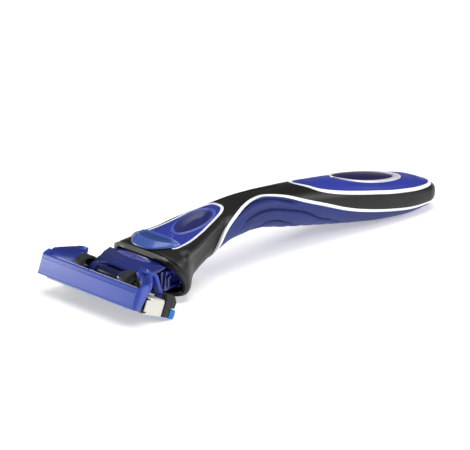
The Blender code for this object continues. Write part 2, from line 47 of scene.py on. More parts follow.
SECTIONS = np.array([
    (-53, 1.8, 13.7, 14.3, 0.21, 3.4, 4.6), (-49, 1.7, 14.5, 14.1, 0.23, 3.2, 4.4), (-45, 1.9, 15.2, 13.2, 0.27, 3.0, 3.8),
    (-40, 2.9, 16.3, 10.9, 0.36, 2.7, 3.0), (-34, 4.9, 17.5, 9.1, 0.44, 2.5, 2.7), (-27, 7.4, 18.9, 7.9, 0.48, 2.4, 2.5),
    (-20, 9.2, 19.9, 7.2, 0.50, 2.3, 2.4), (-10, 9.7, 20.4, 6.9, 0.50, 2.3, 2.3), (4, 7.1, 19.8, 7.1, 0.50, 2.3, 2.3),
    (18, 4.4, 18.4, 8.0, 0.52, 2.4, 2.3), (32, 2.0, 16.4, 9.3, 0.54, 2.6, 2.4), (44, 0.4, 14.2, 10.2, 0.56, 2.8, 2.5),
    (54, -0.12, 12.1, 10.4, 0.56, 2.8, 2.6), (62, 0.4, 10.4, 9.9, 0.55, 2.7, 2.6), (68, 1.2, 9.3, 9.0, 0.54, 2.6, 2.6),
    (73, 1.8, 8.4, 8.0, 0.52, 2.6, 2.6)], float)
BELLY_EDGE = [(-31.6, -90), (-31.0, -76), (-30.0, -52), (-28.5, -27), (-25.4, 5), (-20.3, 29), (-15.0, 50), (-10.8, 60.5), (-7, 64),
              (-2.5, 55), (2, 42), (8, 22), (15.5, 6), (25, -7), (33, -14), (41.5, -18), (50, -21), (57, -22), (66, -22), (70.2, -22)]
TAIL_EDGE = [(9.6, 90), (10.4, 80), (12, 68), (15.5, 47), (22, 33), (29.5, 26), (37, 22), (45.5, 20), (54.5, 24), (59.5, 30),
             (63.5, 40), (66.2, 56), (67.6, 72), (68.3, 90)]
PANEL_EDGE = [(-43.4, 57), (-40, 50), (-34.5, 47), (-30.5, 50), (-26.5, 56), (-23.8, 62.5), (-22.2, 71), (-21.5, 80), (-21.3, 90)]


# ---------------------------------------------------------------- numeric helpers
def pchip(x, y):
    x, y = np.asarray(x, float), np.asarray(y, float)
    h, d = np.diff(x), np.diff(y) / np.diff(x)
    m = np.zeros(len(x)); m[0], m[-1] = d[0], d[-1]
    for i in range(1, len(x) - 1):
        if d[i - 1] * d[i] > 0:
            w1, w2 = 2 * h[i] + h[i - 1], h[i] + 2 * h[i - 1]
            m[i] = (w1 + w2) / (w1 / d[i - 1] + w2 / d[i])

    def value(t):
        t = np.clip(np.asarray(t, float), x[0], x[-1])
        i = np.clip(np.searchsorted(x, t, side="right") - 1, 0, len(h) - 1)
        s = (t - x[i]) / h[i]
        return ((2 * s**3 - 3 * s**2 + 1) * y[i] + (s**3 - 2 * s**2 + s) * h[i] * m[i]
                + (3 * s**2 - 2 * s**3) * y[i + 1] + (s**3 - s**2) * h[i] * m[i + 1])
    return value


F = [pchip(SECTIONS[:, 0], SECTIONS[:, k]) for k in range(1, 7)]


def section(y):
    low, high, half, share, above, below = (f(y) for f in F)
    cap = np.sqrt(np.clip(1 - (np.clip(y - TAIL_START, 0, None) / (TAIL_END - TAIL_START)) ** 2, 1e-6, 1))
    mid = low + (high - low) * share
    return half * cap, (high - mid) * cap, (mid - low) * cap, mid, above, below


def surf(y, phi, depth=0.0):
    """Handle surface at y and polar angle phi (degrees, 0 at +X, 90 on top), at a depth below it."""
    y, phi, depth = np.broadcast_arrays(np.asarray(y, float), np.asarray(phi, float), np.asarray(depth, float))
    a, bt, bb, mid, nt, nb = section(y)
    c, s = np.cos(np.radians(phi)), np.sin(np.radians(phi))
    up = s >= 0
    b = np.where(up, bt, bb); n = np.where(up, nt, nb)
    a, b = np.maximum(a - depth, 0.02), np.maximum(b - depth, 0.02)
    r = (np.abs(c / a) ** n + np.abs(s / b) ** n) ** (-1 / n)
    return np.stack([r * c, y + Y0, mid + r * s], -1)


def to_polar(table):
    """Section angles of the CAD's edge tables as polar angles."""
    t = np.array(table, float)
    a, bt, bb, mid, nt, nb = section(t[:, 0])
    c, s = np.cos(np.radians(t[:, 1])), np.sin(np.radians(t[:, 1]))
    b, n = np.where(s >= 0, bt, bb), np.where(s >= 0, nt, nb)
    phi = np.degrees(np.arctan2(b * np.sign(s) * np.abs(s) ** (2 / n), a * np.clip(c, 1e-9, 1) ** (2 / n)))
    phi[np.abs(t[:, 1]) >= 89.9] = np.sign(t[np.abs(t[:, 1]) >= 89.9, 1]) * 90
    return np.stack([t[:, 0], phi], 1)


def dense(points, n=400):
    """Smooth curve through (y, phi) points, by chord length with the angle weighted as millimetres."""
    p = np.asarray(points, float)
    s = np.concatenate([[0], np.cumsum(np.hypot(np.diff(p[:, 0]), np.diff(p[:, 1]) * 0.14))])
    t = np.linspace(0, s[-1], n)
    return np.stack([pchip(s, p[:, 0])(t), pchip(s, p[:, 1])(t)], 1)


def offset(curve, width):
    """The curve moved by width mm across itself on the handle's surface (up for a curve that runs to +Y)."""
    y, phi = curve[:, 0], curve[:, 1]
    ty = (surf(y + 0.05, phi) - surf(y - 0.05, phi)) / 0.1
    tp = (surf(y, phi + 0.2) - surf(y, phi - 0.2)) / 0.4
    e, f, g = (ty * ty).sum(1), (ty * tp).sum(1), (tp * tp).sum(1)
    dy, dp = np.gradient(y), np.gradient(phi)
    size = np.sqrt(np.maximum(e * g - f * f, 1e-12)) * np.sqrt(np.maximum(e * dy**2 + 2 * f * dy * dp + g * dp**2, 1e-12))
    return np.stack([y - width * (f * dy + g * dp) / size, phi + width * (e * dy + f * dp) / size], 1)


def as_function(curve):
    """phi as a function of y for a curve that runs to +Y."""
    y = np.maximum.accumulate(curve[:, 0])
    keep = np.concatenate([[True], np.diff(y) > 1e-4])
    return lambda t: np.interp(t, y[keep], curve[keep, 1]), float(y[0]), float(y[-1])


def smooth(e0, e1, x):
    t = np.clip((x - e0) / (e1 - e0), 0, 1)
    return t * t * (3 - 2 * t)


def rows_for(a, b, dense_at=(), step=0.8, fine=0.18, reach=2.2):
    """Row positions from a to b, closer together near the listed places."""
    out, y = [a], a
    while y < b:
        near = min([abs(y - d) for d in dense_at] or [99])
        y += fine + (step - fine) * min(1.0, near / reach)
        out.append(min(y, b))
    return np.array(out)


# ---------------------------------------------------------------- mesh helpers
collection = bpy.data.collections.new("looks")
bpy.context.scene.collection.children.link(collection)


def new_object(name, verts, faces, mat, body=None, replace=(), sharp=38):
    mesh = bpy.data.meshes.new(name)
    mesh.from_pydata([tuple(v) for v in np.asarray(verts, float) * MM], [], [tuple(int(i) for i in f) for f in faces])
    mesh.validate(); mesh.update()
    ob = bpy.data.objects.new(name, mesh)
    collection.objects.link(ob)
    if mat:
        mesh.materials.append(mat)
    shade(ob, sharp)
    if body:
        settle(ob, body, replace)
    return ob


def shade(ob, sharp=38):
    ob.data.shade_smooth()
    ob.data.set_sharp_from_angle(angle=math.radians(sharp))


def settle(ob, body, replace=()):
    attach(ob, body)
    if replace:
        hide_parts(*((replace,) if isinstance(replace, str) else replace))
    return ob


def grid_faces(rows, cols, start=0, close=False):
    faces = []
    for i in range(rows - 1):
        for j in range(cols if close else cols - 1):
            k = (j + 1) % cols
            faces.append((start + i * cols + j, start + i * cols + k, start + (i + 1) * cols + k, start + (i + 1) * cols + j))
    return faces


def apply_modifiers(ob, sharp=38):
    bpy.context.view_layer.update()
    dg = bpy.context.evaluated_depsgraph_get()
    mesh = bpy.data.meshes.new_from_object(ob.evaluated_get(dg), preserve_all_data_layers=True, depsgraph=dg)
    ob.modifiers.clear()
    old, ob.data = ob.data, mesh
    mesh.name = ob.name
    bpy.data.meshes.remove(old)
    shade(ob, sharp)
    return ob


def weld(ob, dist=2e-6):
    bm = bmesh.new(); bm.from_mesh(ob.data)
    bmesh.ops.remove_doubles(bm, verts=bm.verts, dist=dist)
    bmesh.ops.dissolve_degenerate(bm, edges=bm.edges, dist=1e-7)
    bm.to_mesh(ob.data); bm.free(); ob.data.update()
    return ob


def outward(ob):
    bm = bmesh.new(); bm.from_mesh(ob.data)
    bmesh.ops.recalc_face_normals(bm, faces=bm.faces)
    bm.to_mesh(ob.data); bm.free(); ob.data.update()
    return ob


def shell(ob, thickness, edge=0.25, segments=3, angle=50, sharp=38):
    """Gives an open surface whose normals point out a thickness inwards and rounds its rims."""
    m = ob.modifiers.new("wall", "SOLIDIFY"); m.thickness = thickness * MM; m.offset = -1; m.use_even_offset = False
    if edge:
        b = ob.modifiers.new("rims", "BEVEL"); b.width = edge * MM; b.segments = segments
        b.limit_method = "ANGLE"; b.angle_limit = math.radians(angle); b.use_clamp_overlap = True
    return apply_modifiers(ob, sharp)


def rounded(ob, width, segments=3, angle=30, sharp=38):
    b = ob.modifiers.new("round", "BEVEL"); b.width = width * MM; b.segments = segments
    b.limit_method = "ANGLE"; b.angle_limit = math.radians(angle); b.use_clamp_overlap = True
    b.harden_normals = False
    return apply_modifiers(ob, sharp)


def cut(ob, tool, operation="DIFFERENCE", keep=False):
    m = ob.modifiers.new("cut", "BOOLEAN"); m.operation, m.solver, m.object = operation, "EXACT", tool
    if tool.data.materials and operation == "DIFFERENCE":
        m.material_mode = "TRANSFER"
    apply_modifiers(ob)
    if not keep:
        bpy.data.objects.remove(tool)
    return ob


def join(first, *others):
    """Appends other objects' meshes to the first."""
    bm = bmesh.new(); bm.from_mesh(first.data)
    for o in others:
        base = len(first.data.materials)
        index = []
        for mt in o.data.materials:
            if mt.name in [m.name for m in first.data.materials]:
                index.append([m.name for m in first.data.materials].index(mt.name))
            else:
                first.data.materials.append(mt); index.append(len(first.data.materials) - 1)
        me = o.data.copy()
        for p in me.polygons:
            p.material_index = index[p.material_index] if index else 0
        bm.from_mesh(me)
        bpy.data.meshes.remove(me)
        bpy.data.objects.remove(o)
    bm.to_mesh(first.data); bm.free(); first.data.update()
    return first


HEAD = Matrix.Translation(Vector((0, (Y0 - 72.8) * MM, 6.2 * MM))) @ Matrix.Rotation(math.radians(-22), 4, "X")


def to_head(ob):
    ob.data.transform(HEAD)
    ob.data.update()
    return ob


def prism(name, outline, x, mat):
    """Closed prism of an (a, n) outline along X."""
    n = len(outline)
    verts = [(xx, p[0], p[1]) for xx in x for p in outline]
    faces = [tuple(range(n)), tuple(range(2 * n - 1, n - 1, -1))]
    faces += [(i, i + n, (i + 1) % n + n, (i + 1) % n) for i in range(n)]
    return outward(new_object(name, verts, faces, mat))


def block(name, x, y, z, mat=None):
    return prism(name, [(y[0], z[0]), (y[1], z[0]), (y[1], z[1]), (y[0], z[1])], x, mat)


def rod(name, x, centre, radius, mat, sides=48):
    return prism(name, [(centre[0] + radius * math.cos(2 * math.pi * i / sides), centre[1] + radius * math.sin(2 * math.pi * i / sides))
                        for i in range(sides)], x, mat)


def mirrored(ob, name):
    copy = ob.copy(); copy.data = ob.data.copy(); copy.name = name; copy.data.name = name
    collection.objects.link(copy)
    copy.data.transform(Matrix.Diagonal((-1, 1, 1, 1)))
    copy.data.flip_normals()
    return copy


# ---------------------------------------------------------------- materials
def principled(name, colour, rough, metal=0.0, coat=0.0, coat_rough=0.1, sheen=0.0, spec=0.5, transmission=0.0, ior=1.5, sss=0.0):
    mat = bpy.data.materials.new(name); mat.use_nodes = True
    b = mat.node_tree.nodes["Principled BSDF"]
    b.inputs["Base Color"].default_value = (*colour, 1)
    b.inputs["Roughness"].default_value = rough
    b.inputs["Metallic"].default_value = metal
    b.inputs["Coat Weight"].default_value = coat
    b.inputs["Coat Roughness"].default_value = coat_rough
    b.inputs["Sheen Weight"].default_value = sheen
    b.inputs["Specular IOR Level"].default_value = spec
    b.inputs["Transmission Weight"].default_value = transmission
    b.inputs["IOR"].default_value = ior
    b.inputs["Subsurface Weight"].default_value = sss
    b.inputs["Subsurface Radius"].default_value = (0.0006, 0.0009, 0.0016)
    mat.diffuse_color = (*colour, 1)
    return mat, mat.node_tree, b


def node(tree, kind, **inputs):
    n = tree.nodes.new(kind)
    for key, value in inputs.items():
        if key in n.inputs:
            n.inputs[key].default_value = value
        else:
            setattr(n, key, value)
    return n


def finish_nodes(tree, b, colour, dark, light, scale, bump_scale, bump, rough, rough_vary, stretch=(1, 1, 1), edge=0.0):
    """Colour and roughness variation, a fine bump, and a painted highlight that makes sharp edges paler."""
    link = tree.links.new
    coords = node(tree, "ShaderNodeTexCoord")
    mapping = node(tree, "ShaderNodeMapping"); mapping.inputs["Scale"].default_value = stretch
    link(coords.outputs["Object"], mapping.inputs["Vector"])
    wide = node(tree, "ShaderNodeTexNoise"); wide.inputs["Scale"].default_value = scale; wide.inputs["Detail"].default_value = 4
    link(mapping.outputs["Vector"], wide.inputs["Vector"])
    ramp = node(tree, "ShaderNodeValToRGB")
    ramp.color_ramp.elements[0].position, ramp.color_ramp.elements[1].position = 0.35, 0.68
    ramp.color_ramp.elements[0].color = (*[c * dark for c in colour], 1)
    ramp.color_ramp.elements[1].color = (*[min(1, c * light) for c in colour], 1)
    link(wide.outputs["Fac"], ramp.inputs["Fac"])
    colour_out = ramp.outputs["Color"]
    if edge:
        # painted highlight: pointy edges are mixed towards a paler copy of the colour
        geometry = node(tree, "ShaderNodeNewGeometry")
        edge_highlight = node(tree, "ShaderNodeMapRange"); edge_highlight.inputs["From Min"].default_value = 0.52; edge_highlight.inputs["From Max"].default_value = 0.62
        edge_highlight.inputs["To Max"].default_value = edge
        link(geometry.outputs["Pointiness"], edge_highlight.inputs["Value"])
        mix = node(tree, "ShaderNodeMixRGB"); mix.blend_type = "MIX"
        mix.inputs["Color2"].default_value = (*[min(1, c * 1.8 + 0.03) for c in colour], 1)
        link(edge_highlight.outputs["Result"], mix.inputs["Fac"]); link(colour_out, mix.inputs["Color1"])
        colour_out = mix.outputs["Color"]
    link(colour_out, b.inputs["Base Color"])
    fine = node(tree, "ShaderNodeTexNoise"); fine.inputs["Scale"].default_value = bump_scale; fine.inputs["Detail"].default_value = 3
    link(mapping.outputs["Vector"], fine.inputs["Vector"])
    spread = node(tree, "ShaderNodeMapRange")
    spread.inputs["To Min"].default_value = max(0.02, rough - rough_vary); spread.inputs["To Max"].default_value = rough + rough_vary
    link(fine.outputs["Fac"], spread.inputs["Value"]); link(spread.outputs["Result"], b.inputs["Roughness"])
    relief = node(tree, "ShaderNodeBump"); relief.inputs["Strength"].default_value = bump; relief.inputs["Distance"].default_value = 0.00008
    link(fine.outputs["Fac"], relief.inputs["Height"]); link(relief.outputs["Normal"], b.inputs["Normal"])
    return relief


def plastic(name, colour, rough=0.35, **kw):
    keys = {k: kw.pop(k) for k in ("dark", "light", "scale", "bump_scale", "bump", "rough_vary", "stretch", "edge") if k in kw}
    mat, tree, b = principled(name, colour, rough, **kw)
    finish_nodes(tree, b, colour, keys.get("dark", 0.88), keys.get("light", 1.1), keys.get("scale", 60), keys.get("bump_scale", 2600),
                 keys.get("bump", 0.15), rough, keys.get("rough_vary", 0.05), keys.get("stretch", (1, 1, 1)), keys.get("edge", 0.0))
    return mat


# the edge values below set the strength of the painted highlight on sharp edges
M = {
    "white": plastic("white_core_plastic", (0.95, 0.955, 0.97), 0.32, coat=0.2, dark=0.97, light=1.02, bump=0.05),
    "black": plastic("black_grip_rubber", (0.0085, 0.0082, 0.0078), 0.38, spec=0.3, dark=0.8, light=1.25, bump_scale=3800, bump=0.3, rough_vary=0.06, edge=0.25),
    "belly": plastic("belly_elastomer", (0.019, 0.032, 0.165), 0.5, spec=0.25, dark=0.85, light=1.12, bump_scale=4200, bump=0.35, rough_vary=0.06, edge=0.3),
    "pad": plastic("pad_elastomer", (0.028, 0.042, 0.31), 0.4, spec=0.3, dark=0.88, light=1.12, bump_scale=3600, bump=0.22, rough_vary=0.05, edge=0.3),
    "silver": plastic("badge_silver", (0.84, 0.85, 0.88), 0.24, metal=0.25, coat=0.4, dark=0.92, light=1.05, bump=0.06, stretch=(1, 0.05, 1)),
    "indigo": plastic("badge_lens", (0.012, 0.008, 0.065), 0.36, spec=0.25, dark=0.8, light=1.4, bump=0.04),
    "blackplastic": plastic("black_plastic", (0.013, 0.0135, 0.012), 0.4, spec=0.35, dark=0.8, light=1.3, bump=0.25, rough_vary=0.06, edge=0.35),
    "carrier": plastic("carrier_plastic", (0.040, 0.075, 0.42), 0.36, coat=0.15, coat_rough=0.25, dark=0.93, light=1.07, bump=0.08, edge=0.08),
    "pad_scoop_painted_shade": plastic("pad_hollow_painted_shade", (0.018, 0.024, 0.14), 0.34, spec=0.4, dark=0.88, light=1.12, bump_scale=3600, bump=0.2),
    "pad_rim_painted_highlight": plastic("pad_rim_painted_highlight", (0.085, 0.11, 0.42), 0.34, spec=0.5, dark=0.92, light=1.1, bump_scale=3600, bump=0.2),
    "connector_painted_highlight": plastic("connector_bevel_painted_highlight", (0.13, 0.14, 0.46), 0.25, coat=0.4, coat_rough=0.12, dark=0.9, light=1.1, bump=0.05),
    "rim": plastic("collar_rim_painted_highlight", (0.105, 0.1, 0.092), 0.3, spec=0.6, dark=0.7, light=1.3, bump=0.1),
    "groove": plastic("belly_groove_painted_shade", (0.010, 0.017, 0.09), 0.6, spec=0.15, bump=0.2),
    "button_dish_painted_shade": plastic("button_dish_painted_shade", (0.024, 0.058, 0.25), 0.34, coat=0.2, coat_rough=0.2, dark=0.9, light=1.12, bump=0.06),
    "hub": plastic("hub_painted_shade_plastic", (0.006, 0.009, 0.05), 0.3, spec=0.4, bump=0.05),
    "darksteel": plastic("oxide_steel", (0.06, 0.06, 0.062), 0.4, metal=0.8, dark=0.8, light=1.2, bump=0.15),
    "steel": plastic("blade_steel", (0.66, 0.66, 0.66), 0.26, metal=1.0, dark=0.85, light=1.1, bump=0.2, bump_scale=3000, stretch=(0.03, 1, 1)),
    "cream": plastic("trimmer_steel", (0.80, 0.78, 0.69), 0.32, metal=0.35, dark=0.94, light=1.04, bump=0.12, bump_scale=2600, stretch=(0.05, 1, 1)),
    "clip": plastic("clip_metal", (0.67, 0.655, 0.59), 0.36, metal=0.25, dark=0.96, light=1.03, bump=0.16, bump_scale=2400, stretch=(1, 0.1, 1)),
    "guard": plastic("guard_rubber", (0.004, 0.17, 0.52), 0.5, dark=0.85, light=1.15, bump=0.3, edge=0.15),
    "gel": plastic("gel_strip_wax", (0.40, 0.50, 0.72), 0.42, dark=0.9, light=1.08, bump=0.35, bump_scale=1500, sss=0.2),
    "connector": plastic("connector_plastic", (0.013, 0.021, 0.16), 0.22, coat=0.45, coat_rough=0.1, dark=0.85, light=1.2, bump=0.05),
    "button": plastic("button_plastic", (0.055, 0.115, 0.40), 0.3, coat=0.3, coat_rough=0.15, dark=0.9, light=1.12, bump=0.06, sss=0.2, edge=0.35),
}


# ---------------------------------------------------------------- handle
LINE = 0.5      # half width of the white lines
TAIL_LINE = 0.62
belly_curve = dense(to_polar(BELLY_EDGE), 600)
tail_curve = dense(to_polar(TAIL_EDGE), 600)
panel_curve = dense(to_polar(PANEL_EDGE), 400)
belly_low, *belly_low_y = as_function(offset(belly_curve, -LINE))     # edge of the blue belly
belly_high, *belly_high_y = as_function(offset(belly_curve, LINE))    # edge of the black skin above it
tail_low, *tail_low_y = as_function(offset(tail_curve, -TAIL_LINE))
tail_high, *tail_high_y = as_function(offset(tail_curve, TAIL_LINE))
panel_low, *panel_low_y = as_function(offset(panel_curve, -LINE * 0.9))
panel_high, *panel_high_y = as_function(offset(panel_curve, LINE * 0.9))

PANEL_SIDE = lambda y: np.where(y < panel_low_y[1], panel_low(np.clip(y, -43.4, panel_low_y[1])), 90.0)
ridge = pchip([-51, -46, -42.5, -37.5, -32.5, -27.5, -22], [36, 31, 27, 21, 19, 24, 34])
crease = pchip([-22.5, -16, -9, -1.5, 6.5], [50, 51, 59, 73, 90])


def relief(y, phi):
    """Extra depth of the black skin: a hollow below the side ridge, a crisp-edged channel along the neck's top and a rolled rim."""
    r = ridge(y)
    t = np.clip((r - phi) / (r + 88), 0, 1)
    strength = smooth(-46, -39, y) * (1 - smooth(-29, -21, y))
    flare = 0.85 * np.exp(-((y + 46.4) / 2.7) ** 2) * (1 - smooth(-12, 16, phi)) * smooth(-88, -58, phi)
    scoop = 0.95 * strength * np.sin(np.pi * np.clip(t / 0.56, 0, 1) ** 0.62)
    c = crease(y)
    across = np.clip((90 - phi) / np.maximum(90 - c, 2), 0, 1)
    fade = smooth(-21.4, -19, y) * (1 - smooth(-2, 6, y))
    beside = 0.45 + np.clip(PANEL_SIDE(y) - phi, 0, 90) * 0.14
    lip = 1.0 * (beside - 0.45) * (1 - smooth(1.25, 3.3, beside)) * smooth(-46, -43.2, y) * (1 - 0.75 * smooth(-34, -25, y)) * (1 - smooth(-25.5, -22.4, y))
    return scoop + fade * 0.4 * (1 - across ** 3) - lip - flare


def smooth_grid(ys, low, high, n, depth=lambda y, p: 0.0, bias=None):
    ys = np.asarray(ys, float)
    t = np.linspace(0, 1, n)[None, :]
    lo, hi = low(ys)[:, None], high(ys)[:, None]
    phi = lo + (hi - lo) * t
    yy = np.repeat(ys[:, None], n, 1)
    return surf(yy, phi, depth(yy, phi)), yy, phi


def sheet_object(name, points, mat):
    rows, cols = points.shape[:2]
    return new_object(name, points.reshape(-1, 3), grid_faces(rows, cols), mat)


def mirror_x(points):
    out = points.copy(); out[..., 0] *= -1
    return out


# black skin: right half as one grid, front part split at the panel's corner
def mouth_front(phi):
    """y of the collar's front rim, by polar angle: top leans forward, the lower jaw reaches forward again."""
    return np.interp(phi, [-90, -40, -22, -12, -4, 2, 10, 22, 34, 48, 66, 90],
                     [-52.8, -52.7, -52.4, -49.6, -47.4, -47.1, -47.5, -48.6, -49.9, -51.6, -52.8, -53.1])


corner = float(panel_low(-43.4))
phi_a = np.concatenate([np.linspace(-90, corner, 61), np.linspace(corner, 90, 20)[1:]])
mouth_pchip = pchip([-90, -45, -24, -13, -5, 2, 10, 22, 34, 48, 66, 90],
                    [-52.7, -52.7, -52.3, -50.3, -48.2, -47.7, -48.5, -50.3, -51.8, -52.8, -53.2, -53.2])
start = mouth_pchip(phi_a)
levels = np.concatenate([np.linspace(0, 0.3, 23), np.linspace(0.34, 1, 14)])
ya = start[None, :] + (-43.55 - start[None, :]) * levels[:, None]
pa = np.repeat(phi_a[None, :], len(levels), 0)
roll = 1.15 * np.clip(1 - (ya - start[None, :]) / 1.1, 0, 1) ** 1.8 * smooth(8, 34, pa)
behind = ya - start[None, :]
bead = smooth(4, 24, pa) * (0.42 * np.exp(-((behind - 1.75) / 0.34) ** 2) - 0.16 * np.exp(-((behind - 0.8) / 0.42) ** 2))
roll = np.where(pa > 24, 0.55, 1.0) * 0 + roll * (1 - 0.45 * smooth(20, 50, pa))
front = surf(ya, pa, relief(ya, pa) + roll + bead)

tips = (-43.5, belly_high_y[0], panel_low_y[1], tail_low_y[0], tail_low_y[1])
yb = rows_for(-43.55, TAIL_END - 0.02, tips + (TAIL_END,), 0.8, 0.12, 3.0)
t = np.linspace(0, 1, 61)[None, :]
lo = np.where(yb < belly_high_y[0], -90.0, belly_high(yb))[:, None]
hi = np.where(yb < panel_low_y[1], panel_low(yb), np.where((yb > tail_low_y[0]) & (yb < tail_low_y[1]), tail_low(yb), 90.0))[:, None]
pb = lo + (hi - lo) * t
yyb = np.repeat(yb[:, None], 61, 1)
back = surf(yyb, pb, relief(yyb, pb))
verts, faces, base = [], [], 0
for points in (front, back):
    for flip in (False, True):
        p = mirror_x(points) if flip else points
        f = grid_faces(p.shape[0], p.shape[1], base)
        faces += [tuple(reversed(q)) for q in f] if not flip else f
        verts.append(p.reshape(-1, 3)); base += p.shape[0] * p.shape[1]
grip = new_object("grip_skin", np.concatenate(verts), faces, M["black"])
weld(grip, 8e-6)
outward(grip)
shell(grip, 1.1, 0.22, 3, 55)
# painted highlight: faces along the collar's front rim on its upper part, facing up or forward, take a lighter grey
grip.data.materials.append(M["rim"])
for poly in grip.data.polygons:
    c = poly.center / MM
    ang = math.degrees(math.atan2(c.z - 6.4, abs(c.x)))
    if c.y - Y0 < -50.5 and ang > 30:
        d = c.y - Y0 - float(mouth_pchip(min(ang, 90)))
        if -0.3 < d < 1.3 and (poly.normal.z > 0.15 or poly.normal.y < -0.3):
            poly.material_index = 1
settle(grip, "handle", "black_grip")

# belly grip with its moulded grooves
groove_paths = [
    np.array([(-24.2, 6), (-20.5, 20), (-16, 31), (-12, 40), (-8, 43), (-4, 40), (0, 31), (4, 22), (9, 12)], float),
    np.array([(-20, -14), (-14.5, 3), (-10.5, 9), (-7, 10), (-3, 8), (0, 5), (8, -8), (15, -29), (21, -38), (27, -45)], float),
    np.array([(-15, -48), (-10.5, -37), (-6.5, -24), (-4, -23), (-2, -25), (1, -33), (4, -42), (8, -56)], float),
]


def groove_depth(y, phi):
    d = np.zeros_like(y)
    here = surf(y, phi)
    fold = np.where(phi < -90, -180 - phi, phi)
    here[..., 0] = np.abs(here[..., 0])
    for k, path in enumerate(groove_paths):
        c = dense(path, 160)
        line = surf(c[:, 0], c[:, 1])
        flat = here.reshape(-1, 3)
        best = np.full(len(flat), 99.0); at = np.zeros(len(flat))
        for i in range(0, len(flat), 4000):
            q = np.linalg.norm(flat[i:i + 4000, None, :] - line[None, :, :], axis=2)
            j = q.argmin(1)
            best[i:i + 4000] = q[np.arange(len(j)), j]; at[i:i + 4000] = j / (len(line) - 1)
        fade = (smooth(0, 0.12, at) * (1 - smooth(0.82, 1, at))).reshape(y.shape)
        best = best.reshape(y.shape)
        width = 0.55
        d += 0.75 * np.exp(-(best / width) ** 2) * fade
    return d


yb = rows_for(belly_low_y[0] + 0.02, 69.6, (belly_low_y[0],), 0.4, 0.12, 2.0)
n = 181
pts, yy, pp = smooth_grid(yb, lambda y: -180 - belly_low(y), belly_low, n)
bumps = groove_depth(yy, pp)
lower = smooth(-30, -80, np.where(pp < -90, -180 - pp, pp)) * smooth(-27, -20, yy) * (1 - smooth(22, 34, yy))
ribs = 0.28 * lower * (0.5 - 0.5 * np.cos(2 * np.pi * (yy + 26) / 5.6)) ** 3
pts = surf(yy, pp, bumps + ribs)
pts[..., 2] = np.maximum(pts[..., 2], 0.0)
belly = sheet_object("belly_skin", pts[:, ::-1], M["belly"])
outward(belly)
shell(belly, 1.0, 0.2, 3, 55)
# painted shade: faces within 0.25 mm of the groove lines take a darker blue
belly.data.materials.append(M["groove"])
centres = np.array([p.center for p in belly.data.polygons]) / MM
centres[:, 0] = np.abs(centres[:, 0])
nearest = np.full(len(centres), 99.0)
for path in groove_paths:
    c = dense(path, 160)[14:136]
    line = surf(c[:, 0], c[:, 1], 0.6)
    for i in range(0, len(centres), 4000):
        nearest[i:i + 4000] = np.minimum(nearest[i:i + 4000], np.linalg.norm(centres[i:i + 4000, None, :] - line[None], axis=2).min(1))
for poly, far_ in zip(belly.data.polygons, nearest):
    if far_ < 0.25:
        poly.material_index = 1
settle(belly, "handle", "belly_grip")


# badge ovals: (centre y, half length, half width)
RING = (42.0, 14.9, 6.7)
DOME = (40.6, 13.0, 5.5)


def top_height(x, y, depth=0.0):
    a, bt, bb, mid, nt, nb = section(y)
    a, b = a - depth, bt - depth
    return mid + b * np.clip(1 - np.clip(np.abs(x) / a, 0, 0.999) ** nt, 0, 1) ** (1 / nt)


def oval_points(oval, count):
    th = np.linspace(0, 2 * np.pi, count, endpoint=False)
    return np.stack([oval[2] * np.sin(th), oval[0] - oval[1] * np.cos(th)], 1)


# tail pad: rings from its outer edge to the badge's pocket, so the pocket edge is clean
count = 240
edge_pts = offset(tail_curve, TAIL_LINE)
edge_pts = edge_pts[(edge_pts[:, 1] <= 90.5)]
right = surf(edge_pts[:, 0], np.minimum(edge_pts[:, 1], 90))
right[0, 0] = right[-1, 0] = 0
loop = np.concatenate([right, mirror_x(right[1:-1])[::-1]])
seg = np.linalg.norm(np.diff(np.concatenate([loop, loop[:1]]), axis=0), axis=1)
acc = np.concatenate([[0], np.cumsum(seg)])
inner = oval_points((RING[0], RING[1] + 0.12, RING[2] + 0.12), count)
# match the outer loop to the oval by angle round the badge centre
ang_loop = np.unwrap(np.arctan2(loop[:, 0], -(loop[:, 1] - Y0 - RING[0]) * RING[2] / RING[1]))
ang_inner = np.unwrap(np.arctan2(inner[:, 0], -(inner[:, 1] - RING[0]) * RING[2] / RING[1]))
if ang_loop[-1] < ang_loop[0]:
    loop, ang_loop = loop[::-1], np.unwrap(np.arctan2(loop[::-1][:, 0], -(loop[::-1][:, 1] - Y0 - RING[0]) * RING[2] / RING[1]))
k = np.argsort(np.mod(ang_loop, 2 * np.pi))
al = np.mod(ang_loop, 2 * np.pi)[k]; lp = loop[k]
target = np.mod(ang_inner, 2 * np.pi)
outer = np.stack([np.interp(target, np.concatenate([al - 2 * np.pi, al, al + 2 * np.pi]), np.tile(lp[:, c], 3)) for c in range(3)], 1)
layers = []
for s in np.linspace(0, 1, 26):
    x = outer[:, 0] * (1 - s) + inner[:, 0] * s
    y = (outer[:, 1] - Y0) * (1 - s) + inner[:, 1] * s
    z = top_height(x, y)
    z = z * (1 - (1 - s) ** 6) + outer[:, 2] * (1 - s) ** 6 if s < 0.35 else z
    layers.append(np.stack([x, y + Y0, z], 1))
layers = np.array(layers)
pad = new_object("tail_pad_skin", layers.reshape(-1, 3), grid_faces(26, count, close=True), M["pad"])
outward(pad)
if sum(p.normal.z for p in pad.data.polygons) < 0:
    pad.data.flip_normals()
shell(pad, 0.95, 0.2, 3, 55)
settle(pad, "handle", "tail_pad")

# badge ring and dome
def oval_strip(name, a, b, profile, mat, steps=200):
    """Ring between ovals a and b with a height profile [(share across, height over the surface)]."""
    pa_, pb_ = oval_points(a, steps), oval_points(b, steps)
    rows = []
    for s, h in profile:
        xy = pa_ * (1 - s) + pb_ * s
        rows.append(np.stack([xy[:, 0], xy[:, 1] + Y0, top_height(xy[:, 0], xy[:, 1]) + h], 1))
    return new_object(name, np.array(rows).reshape(-1, 3), grid_faces(len(rows), steps, close=True), mat)


